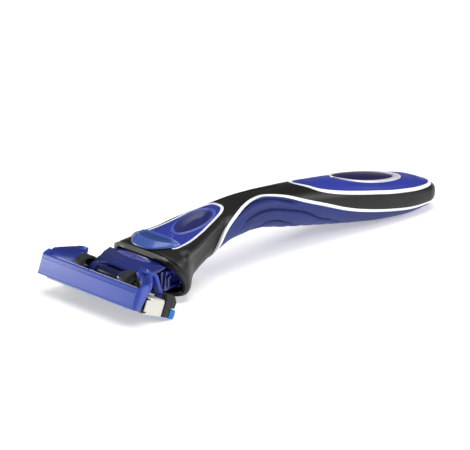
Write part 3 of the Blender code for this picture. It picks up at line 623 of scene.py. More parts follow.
profile = [(0.0, -1.1), (0.0, -0.1), (0.02, 0.06), (0.07, 0.2), (0.16, 0.3), (0.3, 0.34), (0.5, 0.35), (0.7, 0.33), (0.85, 0.27), (0.94, 0.16), (0.98, 0.0), (1.0, -0.2), (1.0, -1.1), (0.5, -1.15), (0.0, -1.1)]
ring = oval_strip("badge_ring_visual", RING, DOME, profile, M["silver"])
weld(ring); outward(ring)
settle(ring, "handle", "badge_ring")

rows = []
dome_oval = (DOME[0], DOME[1] - 0.1, DOME[2] - 0.1)
base_pts = oval_points(dome_oval, 160)
for s, h in [(0.0, -1.0), (1.0, -1.0), (1.0, -0.25), (0.995, 0.02), (0.98, 0.14), (0.95, 0.24)] + [(1 - v, 0.24 + 0.42 * (1 - (1 - v) ** 2)) for v in np.linspace(0.1, 0.995, 22)]:
    s = max(s, 0.004)
    x = base_pts[:, 0] * s; y = dome_oval[0] + (base_pts[:, 1] - dome_oval[0]) * s
    rows.append(np.stack([x, y + Y0, top_height(x, y) + h], 1))
rows = np.array(rows)
dome = new_object("badge_dome_visual", rows.reshape(-1, 3), grid_faces(len(rows), 160, close=True) + [tuple(range(160)), tuple(range((len(rows) - 1) * 160, len(rows) * 160))][:2], M["indigo"])
outward(dome)
settle(dome, "handle", "badge_dome")

# thumb panel: leaf-shaped patch with an oval scoop, its raised rim and a small moulded ring
OVAL = (-31.1, 6.7, 4.5)


def panel_relief(y, phi):
    p = surf(y, phi)
    edge = surf(y, panel_high(np.clip(y, panel_high_y[0], panel_high_y[1] - 0.02)))
    share = np.clip(np.abs(p[..., 0]) / np.maximum(np.abs(edge[..., 0]), 0.3), 0, 1)
    flat = edge[..., 2] - 0.1 - 0.3 * (1 - share ** 2) * smooth(0.5, 3.0, np.abs(edge[..., 0]))
    d = np.maximum(p[..., 2] - flat, 0)
    e = np.sqrt((p[..., 0] / OVAL[2]) ** 2 + ((y - OVAL[0]) / OVAL[1]) ** 2)
    d += 0.85 * (1 - smooth(0.55, 0.99, e)) - 0.42 * np.exp(-((e - 1.06) / 0.075) ** 2)
    q = np.hypot(p[..., 0], y + 40.6)
    return d - 0.16 * np.exp(-((q - 1.15) / 0.24) ** 2)


py = rows_for(-43.25, panel_high_y[1] - 0.05, (panel_high_y[1],), 0.3, 0.1, 2.0)
pts, yy, pp = smooth_grid(py, panel_high, lambda y: 180 - panel_high(y), 141, panel_relief)
panel = sheet_object("thumb_panel_skin", pts, M["pad"])
outward(panel)
if sum(p.normal.z for p in panel.data.polygons) < 0:
    panel.data.flip_normals()
shell(panel, 0.55, 0.12, 3, 55)
# painted shade: the scoop's upward faces take a darker blue
panel.data.materials.append(M["pad_scoop_painted_shade"]); panel.data.materials.append(M["pad_rim_painted_highlight"])
# painted highlight: the scoop's rim and the small ring take a lighter blue
for poly in panel.data.polygons:
    e = math.hypot(poly.center.x / MM / OVAL[2], (poly.center.y / MM - Y0 - OVAL[0]) / OVAL[1])
    if poly.normal.z > 0.2:
        q = math.hypot(poly.center.x / MM, poly.center.y / MM - Y0 + 40.6)
        poly.material_index = 1 if e < 0.93 else 2 if 0.99 < e < 1.13 or 0.98 < q < 1.32 else 0
settle(panel, "handle", "thumb_panel")


# white core: inner loft plus the lines that come up flush between the skins
def ribbon(name, curve, half, lift, depth, level=0.0):
    """Strip along a surface curve with a softly crowned top."""
    rows = []
    for off, d in ((-half, depth), (-half, 0.02), (-half * 0.9, -lift * 0.6), (-half * 0.5, -lift), (0, -lift * 1.1), (half * 0.5, -lift), (half * 0.9, -lift * 0.6), (half, 0.02), (half, depth)):
        c = offset(curve, off)
        p = surf(c[:, 0], c[:, 1], d)
        if level and d < depth:
            middle = surf(curve[:, 0], curve[:, 1], 0.0)[:, 2]
            p[:, 2] = middle + (surf(c[:, 0], c[:, 1], 0.0)[:, 2] - middle) * (1 - level) - d
        rows.append(p)
    rows = np.array(rows).transpose(1, 0, 2)
    count_, cols = rows.shape[:2]
    faces_ = grid_faces(count_, cols)
    faces_ += [tuple(range(cols)), tuple(range((count_ - 1) * cols, count_ * cols))]
    faces_ += [(i * cols, (i + 1) * cols, (i + 1) * cols + cols - 1, i * cols + cols - 1) for i in range(count_ - 1)]
    return outward(new_object(name, rows.reshape(-1, 3), faces_, M["white"]))


yc = np.concatenate([np.linspace(-41, 62, 80), 62 + (TAIL_END - 1.3 - 62) * np.sin(np.radians(np.linspace(6, 88, 12)))])
ph = np.linspace(0, 360, 72, endpoint=False)
core_pts = surf(yc[:, None] + 0 * ph[None, :], ph[None, :] + 0 * yc[:, None], np.interp(yc, [-41, -22, -17, -12], [4.3, 4.3, 2.0, 1.25])[:, None] + 0 * ph[None, :])
core = new_object("core_visual", core_pts.reshape(-1, 3), grid_faces(len(yc), 72, close=True) + [tuple(range(72)), tuple(range((len(yc) - 1) * 72, len(yc) * 72))], M["white"])
outward(core)
strips = []
for label, curve in (("belly", belly_curve), ("tail", tail_curve)):
    right_strip = ribbon(f"line_{label}_right", curve[1:-1:2], (LINE if label == "belly" else TAIL_LINE) * 0.97, 0.05, 1.15)
    left_strip = mirrored(right_strip, f"line_{label}_left")
    strips += [right_strip, left_strip]
core = join(core, *strips)
shade(core)
settle(core, "handle", "handle_core")
right_strip = ribbon("bezel_visual", panel_curve[1:-1:2], LINE * 0.9, 0.12, 1.9, 0.9)
left_strip = mirrored(right_strip, "bezel_left")
tip_curve = dense([(-46.6, float(panel_curve[0, 1]) + 4.5), (-45.2, float(panel_curve[0, 1]) + 1.5), (-43.5, float(panel_curve[0, 1]))], 40)
tip_right = ribbon("bezel_tip_right", tip_curve, 0.28, 0.1, 0.9)
tip_left = mirrored(tip_right, "bezel_tip_left")
bezel = join(right_strip, left_strip, tip_right, tip_left)
shade(bezel)
settle(bezel, "handle", "thumb_panel_bezel")

# ---------------------------------------------------------------- release button, nose, slider and springs
xs = np.linspace(-8.2, 8.2, 83)
front_y = -51.95 + 6.1 * np.abs(xs / 8.2) ** 3
rear_y = -44.25 + 0.45 * (xs / 8.2) ** 2
profile_v = np.array([0, 0.02, 0.05, 0.09, 0.2, 0.30, 0.35, 0.39, 0.44, 0.55, 0.68, 0.8, 0.9, 0.95, 0.99, 1.0])
profile_h = np.array([0.38, 0.66, 0.84, 1.0, 1.42, 1.72, 1.8, 1.66, 1.2, 0.68, 0.44, 0.44, 1.0, 1.2, 1.05, 0.6])
end_h = np.array([0.38, 0.6, 0.74, 0.82, 0.95, 1.0, 1.02, 1.02, 1.02, 1.0, 0.98, 0.96, 0.96, 0.92, 0.8, 0.6])
vv = np.concatenate([np.linspace(0, 0.1, 10), np.linspace(0.12, 0.94, 44), np.linspace(0.95, 1, 8)])
shape_mid, shape_end = pchip(profile_v, profile_h)(vv), pchip(profile_v, end_h)(vv)
u = np.abs(xs / 8.2)
blend_u = (1 - u ** 3.2)[None, :]
height = shape_mid[:, None] * blend_u + shape_end[:, None] * (1 - blend_u)
height = 0.38 + (height - 0.38) * (1 - np.clip((u - 0.93) / 0.07, 0, 1) ** 2.2 * 0.75)[None, :]
yy = front_y[None, :] + (rear_y - front_y)[None, :] * vv[:, None]
xx = np.repeat(xs[None, :], len(vv), 0)
top = np.stack([xx, yy + Y0, top_height(xx, yy) + height], -1)
under = np.stack([xx, yy + Y0, top_height(xx, yy) + 0.32], -1)
R, C = top.shape[:2]
faces = grid_faces(R, C) + [tuple(reversed(f)) for f in grid_faces(R, C, R * C)]
edge_loop = [j for j in range(C)] + [i * C + C - 1 for i in range(1, R)] + [(R - 1) * C + j for j in range(C - 2, -1, -1)] + [i * C for i in range(R - 2, 0, -1)]
faces += [(edge_loop[i], edge_loop[(i + 1) % len(edge_loop)], edge_loop[(i + 1) % len(edge_loop)] + R * C, edge_loop[i] + R * C) for i in range(len(edge_loop))]
button = outward(new_object("button_cap", np.concatenate([top.reshape(-1, 3), under.reshape(-1, 3)]), faces, M["button"]))
# painted shade: the upward faces in the button's dish take a darker blue
button.data.materials.append(M["button_dish_painted_shade"])
for poly in button.data.polygons:
    bx, by = poly.center.x / MM, poly.center.y / MM - Y0
    f0 = -51.95 + 6.1 * abs(bx / 8.2) ** 3; f1 = -44.25 + 0.45 * (bx / 8.2) ** 2
    v_ = (by - f0) / max(f1 - f0, 0.2)
    if poly.normal.z > 0 and 0.46 < v_ < 0.88 and abs(bx) < 6.6 - 1.2 * abs(v_ - 0.66) / 0.22:
        poly.material_index = 1
shade(button, 50)
stem = rounded(block("button_stem", (-2, 2), (-46.4 + Y0, -44.6 + Y0), (12.7, 15.0), M["button"]), 0.2)
button = join(button, stem)
shade(button, 50)
settle(button, "button", "release_button")

slider = block("slider_body", (-3.5, 3.5), (-46.6 + Y0, -42 + Y0), (10.9, 12.4), M["white"])
for x in (-2.2, -0.7, 0.8):
    cut(slider, block("slider_groove", (x, x + 0.7), (-46.0 + Y0, -42.6 + Y0), (12.15, 13)))
rounded(slider, 0.18)
settle(slider, "button", "ejector_slider")

nose = block("nose_body", (-4.2, 4.2), (-49.5 + Y0, -37.5 + Y0), (6.6, 9.4), M["blackplastic"])
for side in (-1, 1):
    cut(nose, block("nose_slot", sorted((side * 1.3, side * 2.1)), (-49.0 + Y0, -40 + Y0), (9.1, 10)))
    cut(nose, prism("nose_lead", [(-49.7 + Y0, 6.0), (-48.2 + Y0, 6.0), (-49.7 + Y0, 7.4)], (-5, 5), None)) if side == 1 else None
rounded(nose, 0.35)
settle(nose, "handle", "docking_nose")


def tube(name, path, radius, mat, sides=12):
    """Closed round wire along a polyline."""
    p = np.asarray(path, float)
    tangent = np.gradient(p, axis=0)
    tangent /= np.linalg.norm(tangent, axis=1)[:, None]
    side = np.cross(tangent, [0, 0, 1.0]); bad = np.linalg.norm(side, axis=1) < 1e-6
    side[bad] = [1, 0, 0]
    for i in range(1, len(side)):
        if side[i] @ side[i - 1] < 0:
            side[i] *= -1
    side /= np.linalg.norm(side, axis=1)[:, None]
    up = np.cross(side, tangent)
    a = np.linspace(0, 2 * np.pi, sides, endpoint=False)
    ring_ = p[:, None, :] + radius * (np.cos(a)[None, :, None] * side[:, None, :] + np.sin(a)[None, :, None] * up[:, None, :])
    n = len(p)
    return outward(new_object(name, ring_.reshape(-1, 3), grid_faces(n, sides, close=True) + [tuple(range(sides)), tuple(range((n - 1) * sides, n * sides))], mat))


turns = np.linspace(0, 1, 221)
pitch_y = -41.4 + 0.25 + (5.7 - 0.5) * np.clip((turns * 6 - 0.5) / 5, 0, 1)
coil_path = np.stack([1.25 * np.cos(turns * 12 * np.pi), pitch_y + Y0, 11.7 + 1.25 * np.sin(turns * 12 * np.pi)], 1)
coil = tube("return_coil", coil_path, 0.19, M["steel"])
shade(coil, 60)
settle(coil, "handle", "button_return_spring")

# ---------------------------------------------------------------- connector
PIVOT_Y, PIVOT_Z = -62.641, 8.6201
plate_top = [(-59.35, 9.0), (-59.4, 9.9), (-59.0, 10.2), (-58.2, 10.45), (-56.5, 10.9), (-54.6, 11.5), (-52.8, 12.05), (-51, 12.35), (-49.2, 12.5)]
plate_low = [(-49.2, 10.5), (-53, 10.2), (-56, 9.6)]
connector = prism("connector_skin", [(y + Y0, z) for y, z in plate_top + plate_low], (-10.3, 10.3), M["connector"])
body_block = block("connector_body", (-8.0, 8.0), (-53.0 + Y0, -43.6 + Y0), (4.4, 10.35), M["connector"])
for side in (-1, 1):
    # recessed side panel with a hooked rib standing in it
    panel_cut = block("side_recess", sorted((side * 7.2, side * 9)), (-52.2 + Y0, -44.4 + Y0), (5.1, 9.7))
    rib = block("hook_rib", sorted((side * 6.8, side * 7.9)), (-51.6 + Y0, -50.9 + Y0), (5.0, 8.6))
    cut(rib, block("hook_top", sorted((side * 6.8, side * 7.9)), (-51.6 + Y0, -49.4 + Y0), (8.1, 8.9)), "UNION")
    cut(panel_cut, rib)
    cut(body_block, panel_cut)
cut(connector, body_block, "UNION")
for side in (-1, 1):
    x0, x1 = sorted((side * 4.8, side * 7.2))
    arc = [(PIVOT_Y + Y0 + 2.3 * math.cos(math.radians(t_)), PIVOT_Z + 2.3 * math.sin(math.radians(t_))) for t_ in range(62, 321, 6)]
    cut(connector, prism("yoke", arc + [(-59.3 + Y0, 8.6), (-57.5 + Y0, 9.5), (-57.3 + Y0, 10.6), (-59.0 + Y0, 10.15)], (x0, x1), None), "UNION")
    # triangular facets that chamfer the plate's rear corners
    # painted highlight: the faces these facets cut take a lighter blue
    for pts3 in ([(side * 8.2, -50.0 + Y0, 13.2), (side * 11.2, -50.0 + Y0, 13.2), (side * 11.2, -50.0 + Y0, 10.6), (side * 11.2, -55.2 + Y0, 12.6)],):
        mesh = bpy.data.meshes.new("facet"); bm = bmesh.new()
        for q in pts3 + [(side * 11.2, -48.9 + Y0, 13.2), (side * 8.2, -48.9 + Y0, 13.2), (side * 11.2, -48.9 + Y0, 10.6)]:
            bm.verts.new(Vector(q) * MM)
        bmesh.ops.convex_hull(bm, input=bm.verts)
        bm.to_mesh(mesh); bm.free(); mesh.materials.append(M["connector_painted_highlight"])
        tool = bpy.data.objects.new("facet", mesh); collection.objects.link(tool)
        cut(connector, tool)
cut(connector, block("curtain", (-9.6, 9.6), (-58.9 + Y0, -57.9 + Y0), (8.35, 9.8)), "UNION")
# lens-shaped dish behind the plate's crown; its cut faces take a lighter blue as a painted highlight
mesh = bpy.data.meshes.new("lens"); bm = bmesh.new()
bmesh.ops.create_uvsphere(bm, u_segments=96, v_segments=64, radius=1)
bmesh.ops.transform(bm, verts=bm.verts, matrix=Matrix.Translation(Vector((-0.8, -53.9 + Y0, 12.25)) * MM) @ Matrix.Diagonal((8.6 * MM, 1.35 * MM, 0.95 * MM, 1)))
bm.to_mesh(mesh); bm.free()
mesh.materials.append(M["connector_painted_highlight"])
lens = bpy.data.objects.new("lens", mesh); collection.objects.link(lens)
cut(connector, lens)
# inside the collar it is trimmed to the collar's bore
yl = np.linspace(-66, -40, 40); pl = np.linspace(0, 360, 128, endpoint=False)
bore_pts = surf(np.maximum(yl, -53)[:, None] + 0 * pl[None, :], pl[None, :] + 0 * yl[:, None], 1.65)
bore_pts[..., 1] = yl[:, None] + Y0
front_rows = yl < -53
bore_pts[front_rows, :, 0] *= 1.0
bore_pts[front_rows, :, 2] = 7.75 + (bore_pts[front_rows, :, 2] - 7.75) * (1 + 0.0 * yl[front_rows][:, None])
bore = outward(new_object("collar_bore", bore_pts.reshape(-1, 3), grid_faces(40, 128, close=True) + [tuple(range(128)), tuple(range(39 * 128, 40 * 128))], None))
cut(connector, bore, "INTERSECT")
cut(connector, block("nose_socket", (-4.6, 4.6), (-50.2 + Y0, -42 + Y0), (6.2, 9.8)))
for side in (-1, 1):
    cut(connector, rod("pin_hole", sorted((side * 4.0, side * 8.0)), (PIVOT_Y + Y0, PIVOT_Z), 1.5, None))
wide_top = [(-11.6, -52.9), (-11.6, -54.2), (-11.3, -55.4), (-10.3, -58.2), (10.3, -58.2), (11.3, -55.4), (11.6, -54.2), (11.6, -52.9)]
top_z = pchip([q[0] for q in plate_top], [q[1] for q in plate_top])
wide = [(x, y + Y0, float(top_z(y)) - d - (0.5 if abs(x) > 11.4 else 0.25) * (0 if d else 1)) for d in (0.0, 1.0) for x, y in wide_top]
nw = len(wide_top)
wing = outward(new_object("plate_shoulders", wide, [tuple(range(nw)), tuple(range(nw, 2 * nw))] + [(k, (k + 1) % nw, (k + 1) % nw + nw, k + nw) for k in range(nw)], M["connector"]))
cut(connector, wing, "UNION")
# raised ribs on the recessed front wall
for x in (-3.3, 3.3):
    cut(connector, rounded(block("front_rib", (x - 0.35, x + 0.35), (-54.4 + Y0, -52.9 + Y0), (9.0, 10.2)), 0.15), "UNION")
weld(connector, 4e-6)
rounded(connector, 0.2, 3, 32)
for side in (-1, 1):
    # the plug's curved cheek that lies along the collar's bore
    lp_ = np.linspace(-84, 30, 56)
    la = mouth_pchip(lp_) + 0.55
    lt = np.linspace(0, 1, 16)[:, None]
    ly_ = la[None, :] + (-43.6 - la[None, :]) * lt
    cheek_pts = surf(ly_, np.repeat(lp_[None, :], 16, 0), 1.75)
    cheek_pts[..., 0] *= side
    cheek = new_object("cheek", cheek_pts.reshape(-1, 3), grid_faces(16, 56), M["connector"])
    centre_ = cheek.data.polygons[len(cheek.data.polygons) // 2]
    if centre_.normal.x * side < 0:
        cheek.data.flip_normals()
    shell(cheek, 0.8, 0.12, 2, 50)
    join(connector, cheek)
# painted shade: the hub in the lug's hollow is coloured near-black
hub = [(PIVOT_Y + Y0 + r_ * math.cos(math.radians(t_)), PIVOT_Z + r_ * math.sin(math.radians(t_)))
       for t_, r_ in [(t_, 1.85) for t_ in range(-24, 196, 6)] + [(t_, 1.4) for t_ in range(206, 326, 10)]]
hub_bar = prism("hub", hub, (-5.1, 5.1), M["hub"])
join(connector, rounded(hub_bar, 0.15))
shade(connector)
settle(connector, "connector", "connector_shell")

for side, word in ((-1, "left"), (1, "right")):
    x = sorted((side * 5.0, side * 10.8))
    pin = rounded(rod(f"pin_{word}", x, (PIVOT_Y + Y0, PIVOT_Z), 1.2, M["darksteel"]), 0.2)
    settle(pin, "connector", f"pivot_pin_{word}")
    outline = [(-53.2 + Y0, 5.0), (-52.6 + Y0, 4.1), (-46.2 + Y0, 4.3), (-46.2 + Y0, 9.0), (-50.6 + Y0, 9.6), (-53.2 + Y0, 9.5)]
    finger = prism(f"finger_{word}", outline, sorted((side * 8.42, side * 11.2)), M["connector"])
    cut(finger, prism("finger_draft", [(-54.5 + Y0, 3), (-53.1 + Y0, 3), (-51.9 + Y0, 9.9), (-54.5 + Y0, 9.9)], sorted((side * 10.4, side * 12)), None))
    well = block("finger_well", sorted((side * 10.2, side * 11.6)), (-52.0 + Y0, -46.9 + Y0), (5.0, 8.6))
    hook = prism("finger_hook", [(-51.4 + Y0, 4.9), (-50.7 + Y0, 4.9), (-50.6 + Y0, 7.1), (-50.0 + Y0, 7.7), (-49.1 + Y0, 7.7), (-49.1 + Y0, 8.3), (-50.3 + Y0, 8.3), (-51.4 + Y0, 7.4)],
                 sorted((side * 10.0, side * 11.7)), None)
    cut(well, hook)
    cut(finger, well)
    rounded(finger, 0.12)
    settle(finger, "connector", f"latch_finger_{word}")

leaf_line = pchip([-60.25, -59.2, -58.0, -56.5, -55.0, -53.4], [7.15, 8.15, 8.72, 8.97, 8.98, 8.9])
ly = np.linspace(-60.25, -53.4, 40); lz = leaf_line(ly)
upper = [(y + Y0, z + 0.12) for y, z in zip(ly, lz)]; lower = [(y + Y0, z - 0.12) for y, z in zip(ly[::-1], lz[::-1])]
leaf = prism("leaf", upper + lower, (-1.5, 1.5), M["darksteel"])
cut(leaf, block("leaf_slot", (-0.4, 0.4), (-58.6 + Y0, -54.6 + Y0), (7, 10)))
shade(leaf, 30)
settle(leaf, "connector", "pivot_return_spring")


# ---------------------------------------------------------------- cartridge, in head axes
def head_piece(ob, body, replace, bevel=0.15, angle=30, sharp=38, segments=3):
    weld(ob, 3e-6)
    if bevel:
        rounded(ob, bevel, segments, angle, sharp)
    to_head(ob)
    return settle(ob, body, replace)


PIVOT, HINGE = (7.4, 5.6), (12.9, 4.4)
bar_frame = prism("frame_body", [(3.3, 0.1), (11.6, 0.1), (11.6, 2.4), (15.0, 2.4), (15.0, 3.2), (14.2, 3.75), (12.6, 4.0), (3.3, 4.0)], (-18.1, 18.1), M["blackplastic"])
for side in (-1, 1):
    cut(bar_frame, block("frame_end", sorted((side * 17.0, side * 20.1)), (3.3, 10.8), (0.1, 4.0)), "UNION")
cut(bar_frame, block("bay", (-16.2, 16.2), (4.2, 11.0), (-1.0, 2.7)))
for x in ((-16.2, -12.0), (12.0, 16.2)):
    cut(bar_frame, block("window", x, (4.2, 11.0), (2.0, 6.0)))
for a0 in (4.7, 6.1, 7.5, 8.9):
    cut(bar_frame, block("slit", (-7.2, 7.2), (a0, a0 + 0.55), (2.0, 6.0)))
for side in (-1, 1):
    cut(bar_frame, block("notch", sorted((side * 15.0, side * 18.4)), (10.9, 15.6), (2.2, 6.0)))
for x in np.arange(-14.4, 14.5, 1.2):
    cut(bar_frame, block("rear_flute", (x - 0.25, x + 0.25), (14.6, 15.6), (2.0, 3.6))) if abs(x) < 14.6 else None
head_piece(bar_frame, "cartridge", "cartridge_frame", 0.16)

for i in range(5):
    y = 4.5 + 1.36 * i
    outline = [(y, 0.0), (y + 0.10, 0.06), (y + 0.36, 0.35), (y + 0.75, 2.1), (y + 0.42, 2.1), (y + 0.12, 0.42)]
    blade = prism(f"blade_body_{i + 1}", outline, (-15.9, 15.9), M["steel"])
    for x in (-10.2, 10.2, 0.0):
        cut(blade, block("weld_dimple", (x - 0.3, x + 0.3), (y + 0.1, y + 0.33), (1.3, 1.9)))
    to_head(blade)
    settle(blade, "cartridge", f"blade_{i + 1}")
    shade(blade, 20)

arc = [(PIVOT[0] + 3.8 * math.cos(math.radians(a)), PIVOT[1] + 3.8 * math.sin(math.radians(a))) for a in range(0, 181, 4)]
lug = prism("lug_left_body", [(11.2, 4.3)] + arc + [(3.6, 4.3)], (-11.0, -8.0), M["blackplastic"])
cut(lug, rod("lug_hollow", (-10.0, -7.0), PIVOT, 3.0, None, 72))
cut(lug, rod("lug_hole", (-12.0, -9.0), PIVOT, 1.5, None, 48))
cut(lug, prism("lug_mouth", [(4.4, 4.0), (10.4, 4.0), (10.4, 4.9), (4.4, 4.9)], (-10.0, -7.0), None))
weld(lug, 3e-6)
rounded(lug, 0.22, 3, 32)
to_head(lug)
settle(mirrored(lug, "lug_right_body"), "cartridge", "bearing_lug_right")
settle(lug, "cartridge", "bearing_lug_left")


def rounded_path(corners, radii, step=12):
    out = [np.array(corners[0], float)]
    for k in range(1, len(corners) - 1):
        p, a, b = (np.array(corners[i], float) for i in (k, k - 1, k + 1))
        da, db = (a - p) / np.linalg.norm(a - p), (b - p) / np.linalg.norm(b - p)
        r = radii[k - 1]
        for t_ in np.linspace(0, 1, 9):
            out.append((1 - t_) ** 2 * (p + da * r) + 2 * t_ * (1 - t_) * p + t_ ** 2 * (p + db * r))
    out.append(np.array(corners[-1], float))
    return np.array(out)


# clips: a strip of metal bent round each end of the frame
outer_path = rounded_path([(16.8, -0.55), (20.8, -0.55), (20.8, 4.42), (16.8, 4.42)], (0.9, 0.75))
inner_path = rounded_path([(16.8, -0.2), (20.42, -0.2), (20.42, 4.08), (16.8, 4.08)], (0.55, 0.4))
section_pts = np.concatenate([outer_path, inner_path[::-1]])
nclip = len(section_pts)
verts = [(p[0], a, p[1]) for a in (4.0, 10.8) for p in section_pts]
half_n = len(outer_path)
faces = []
for k in range(nclip):
    faces.append((k, (k + 1) % nclip, (k + 1) % nclip + nclip, k + nclip))
for k in range(half_n - 1):
    quad = (k, nclip - 1 - k, nclip - 2 - k, k + 1)
    faces += [quad, tuple(q + nclip for q in reversed(quad))]
clip = outward(new_object("clip_right_body", verts, faces, M["clip"]))
# narrower tab at the front edge with a notch above and below it
cut(clip, block("tab_top", (19.6, 22), (3.5, 4.3), (3.5, 6)))
cut(clip, block("tab_low", (19.6, 22), (3.5, 4.25), (-2, 0.35)))
cut(clip, block("notch_top", (20.0, 22), (4.2, 5.3), (3.68, 4.1)))
cut(clip, block("notch_low", (20.0, 22), (4.2, 4.8), (-0.1, 0.42)))
rounded(clip, 0.08, 2, 40)
to_head(clip)
settle(mirrored(clip, "clip_left_body"), "cartridge", "clip_left")
settle(clip, "cartridge", "clip_right")

cap_outline = [(11.1, -0.3), (13.1, -0.3), (13.3, 2.35), (15.1, 2.5), (15.2, 4.2), (14.75, 5.4), (14.2, 5.9), (13.5, 6.2), (11.9, 6.2), (11.35, 5.95), (11.1, 5.5)]
cap = prism("cap_right_body", cap_outline, (18.4, 21.0), M["blackplastic"])
cut(cap, rod("cap_socket", (18.0, 20.2), HINGE, 1.2, None))
cut(cap, prism("cap_draft", [(10, 4.9), (16, 4.9), (16, 7), (10, 7)], (20.75, 21.5), None))
weld(cap, 3e-6)
rounded(cap, 0.3, 4, 30)
to_head(cap)
settle(mirrored(cap, "cap_left_body"), "cartridge", "end_cap_left")
settle(cap, "cartridge", "end_cap_right")

guard = prism("guard_body", [(11.9, -0.02), (15.3, -0.1), (15.55, 0.5), (15.6, 2.1), (11.9, 2.05)], (-18.1, 18.1), M["guard"])
for side in (-1, 1):
    cut(guard, prism("guard_tip", [(13.6, -0.42), (15.3, -0.5), (15.7, 0.6), (15.6, 2.1), (13.7, 2.0)], sorted((side * 17.5, side * 21.0)), None), "UNION")
rounded(guard, 0.14, 2, 35)
fins = []
for k, a0 in enumerate((12.15, 12.75, 13.35, 13.95, 14.55)):
    for m in range(44):
        x0 = -17.2 + m * 0.8 + (0.4 if k % 2 else 0)
        if x0 + 0.55 < 17.3:
            base = [(x0, a0, 0.05), (x0 + 0.6, a0, 0.05), (x0 + 0.6, a0 + 0.36, 0.05), (x0, a0 + 0.36, 0.05),
                    (x0 + 0.08, a0 + 0.22, -0.4), (x0 + 0.52, a0 + 0.22, -0.4), (x0 + 0.52, a0 + 0.34, -0.4), (x0 + 0.08, a0 + 0.34, -0.4)]
            fins.append(base)
verts = np.array(fins).reshape(-1, 3)
faces = [tuple(8 * f + q for q in quad) for f in range(len(fins)) for quad in ((0, 3, 2, 1), (4, 5, 6, 7), (0, 1, 5, 4), (1, 2, 6, 5), (2, 3, 7, 6), (3, 0, 4, 7))]
fin_ob = outward(new_object("guard_fins", verts, faces, M["guard"]))
guard = join(guard, fin_ob)
shade(guard)
to_head(guard)
settle(guard, "cartridge", "guard_strip")

trim = prism("trimmer_body", [(2.72, 0.5), (3.0, 0.5), (3.0, 5.7), (2.8, 6.1), (2.72, 6.1)], (-17.0, 17.0), M["cream"])
cut(trim, block("trim_gap", (-3.7, -3.1), (2, 4), (5.45, 7)))
for x in np.arange(-16.2, 16.4, 1.3):
    cut(trim, block("trim_slot", (x - 0.3, x + 0.3), (2, 4), (1.2, 2.6))) if abs(x) > 12 else None
to_head(trim)
settle(trim, "cartridge", "trimmer_blade")

# ---------------------------------------------------------------- flip-up gel carrier, in head axes
front_profile = [(0.35, 0.1), (0.12, 0.22), (0.02, 0.5), (0.0, 0.9), (0.0, 4.72), (0.1, 4.8), (0.1, 4.9), (0.0, 4.98), (0.02, 5.6), (0.16, 5.88), (0.4, 6.0),
                 (2.15, 6.0), (2.35, 5.85), (2.4, 5.6), (2.4, 0.5), (2.3, 0.2), (2.1, 0.1)]
bar = prism("carrier_bar", front_profile, (-20.98, 20.98), M["carrier"])
for side in (-1, 1):
    # the end wall wraps round from the front and narrows towards its foot
    wall = [(0.5, 0.25), (0.25, 0.9), (0.2, 5.5), (0.35, 5.97), (0.7, 6.25), (1.3, 6.85), (1.9, 7.3), (2.4, 7.6), (2.9, 7.6), (3.3, 7.1), (3.4, 5.2), (2.9, 3.2), (2.3, 1.2), (1.9, 0.4)]
    cut(bar, prism("end_wall", wall, sorted((side * 20.1, side * 21.0)), None), "UNION")
plan = [(21.0, 6.0), (21.0, 1.2)] + [(19.8 + 1.2 * math.cos(math.radians(t_)), 1.2 - 1.2 * math.sin(math.radians(t_))) for t_ in range(6, 91, 6)]
plan += [(-x, a) for x, a in plan[::-1]]
np_ = len(plan)
keep = outward(new_object("bar_plan", [(x, a, n) for n in (-2.0, 12.0) for x, a in plan],
                          [tuple(range(np_)), tuple(range(np_, 2 * np_))] + [(k, (k + 1) % np_, (k + 1) % np_ + np_, k + np_) for k in range(np_)], None))
cut(bar, keep, "INTERSECT")
cut(bar, block("channel", (-17.3, 17.3), (0.5, 2.0), (-1.0, 2.0)))
weld(bar, 3e-6)
rounded(bar, 0.2, 4, 40)


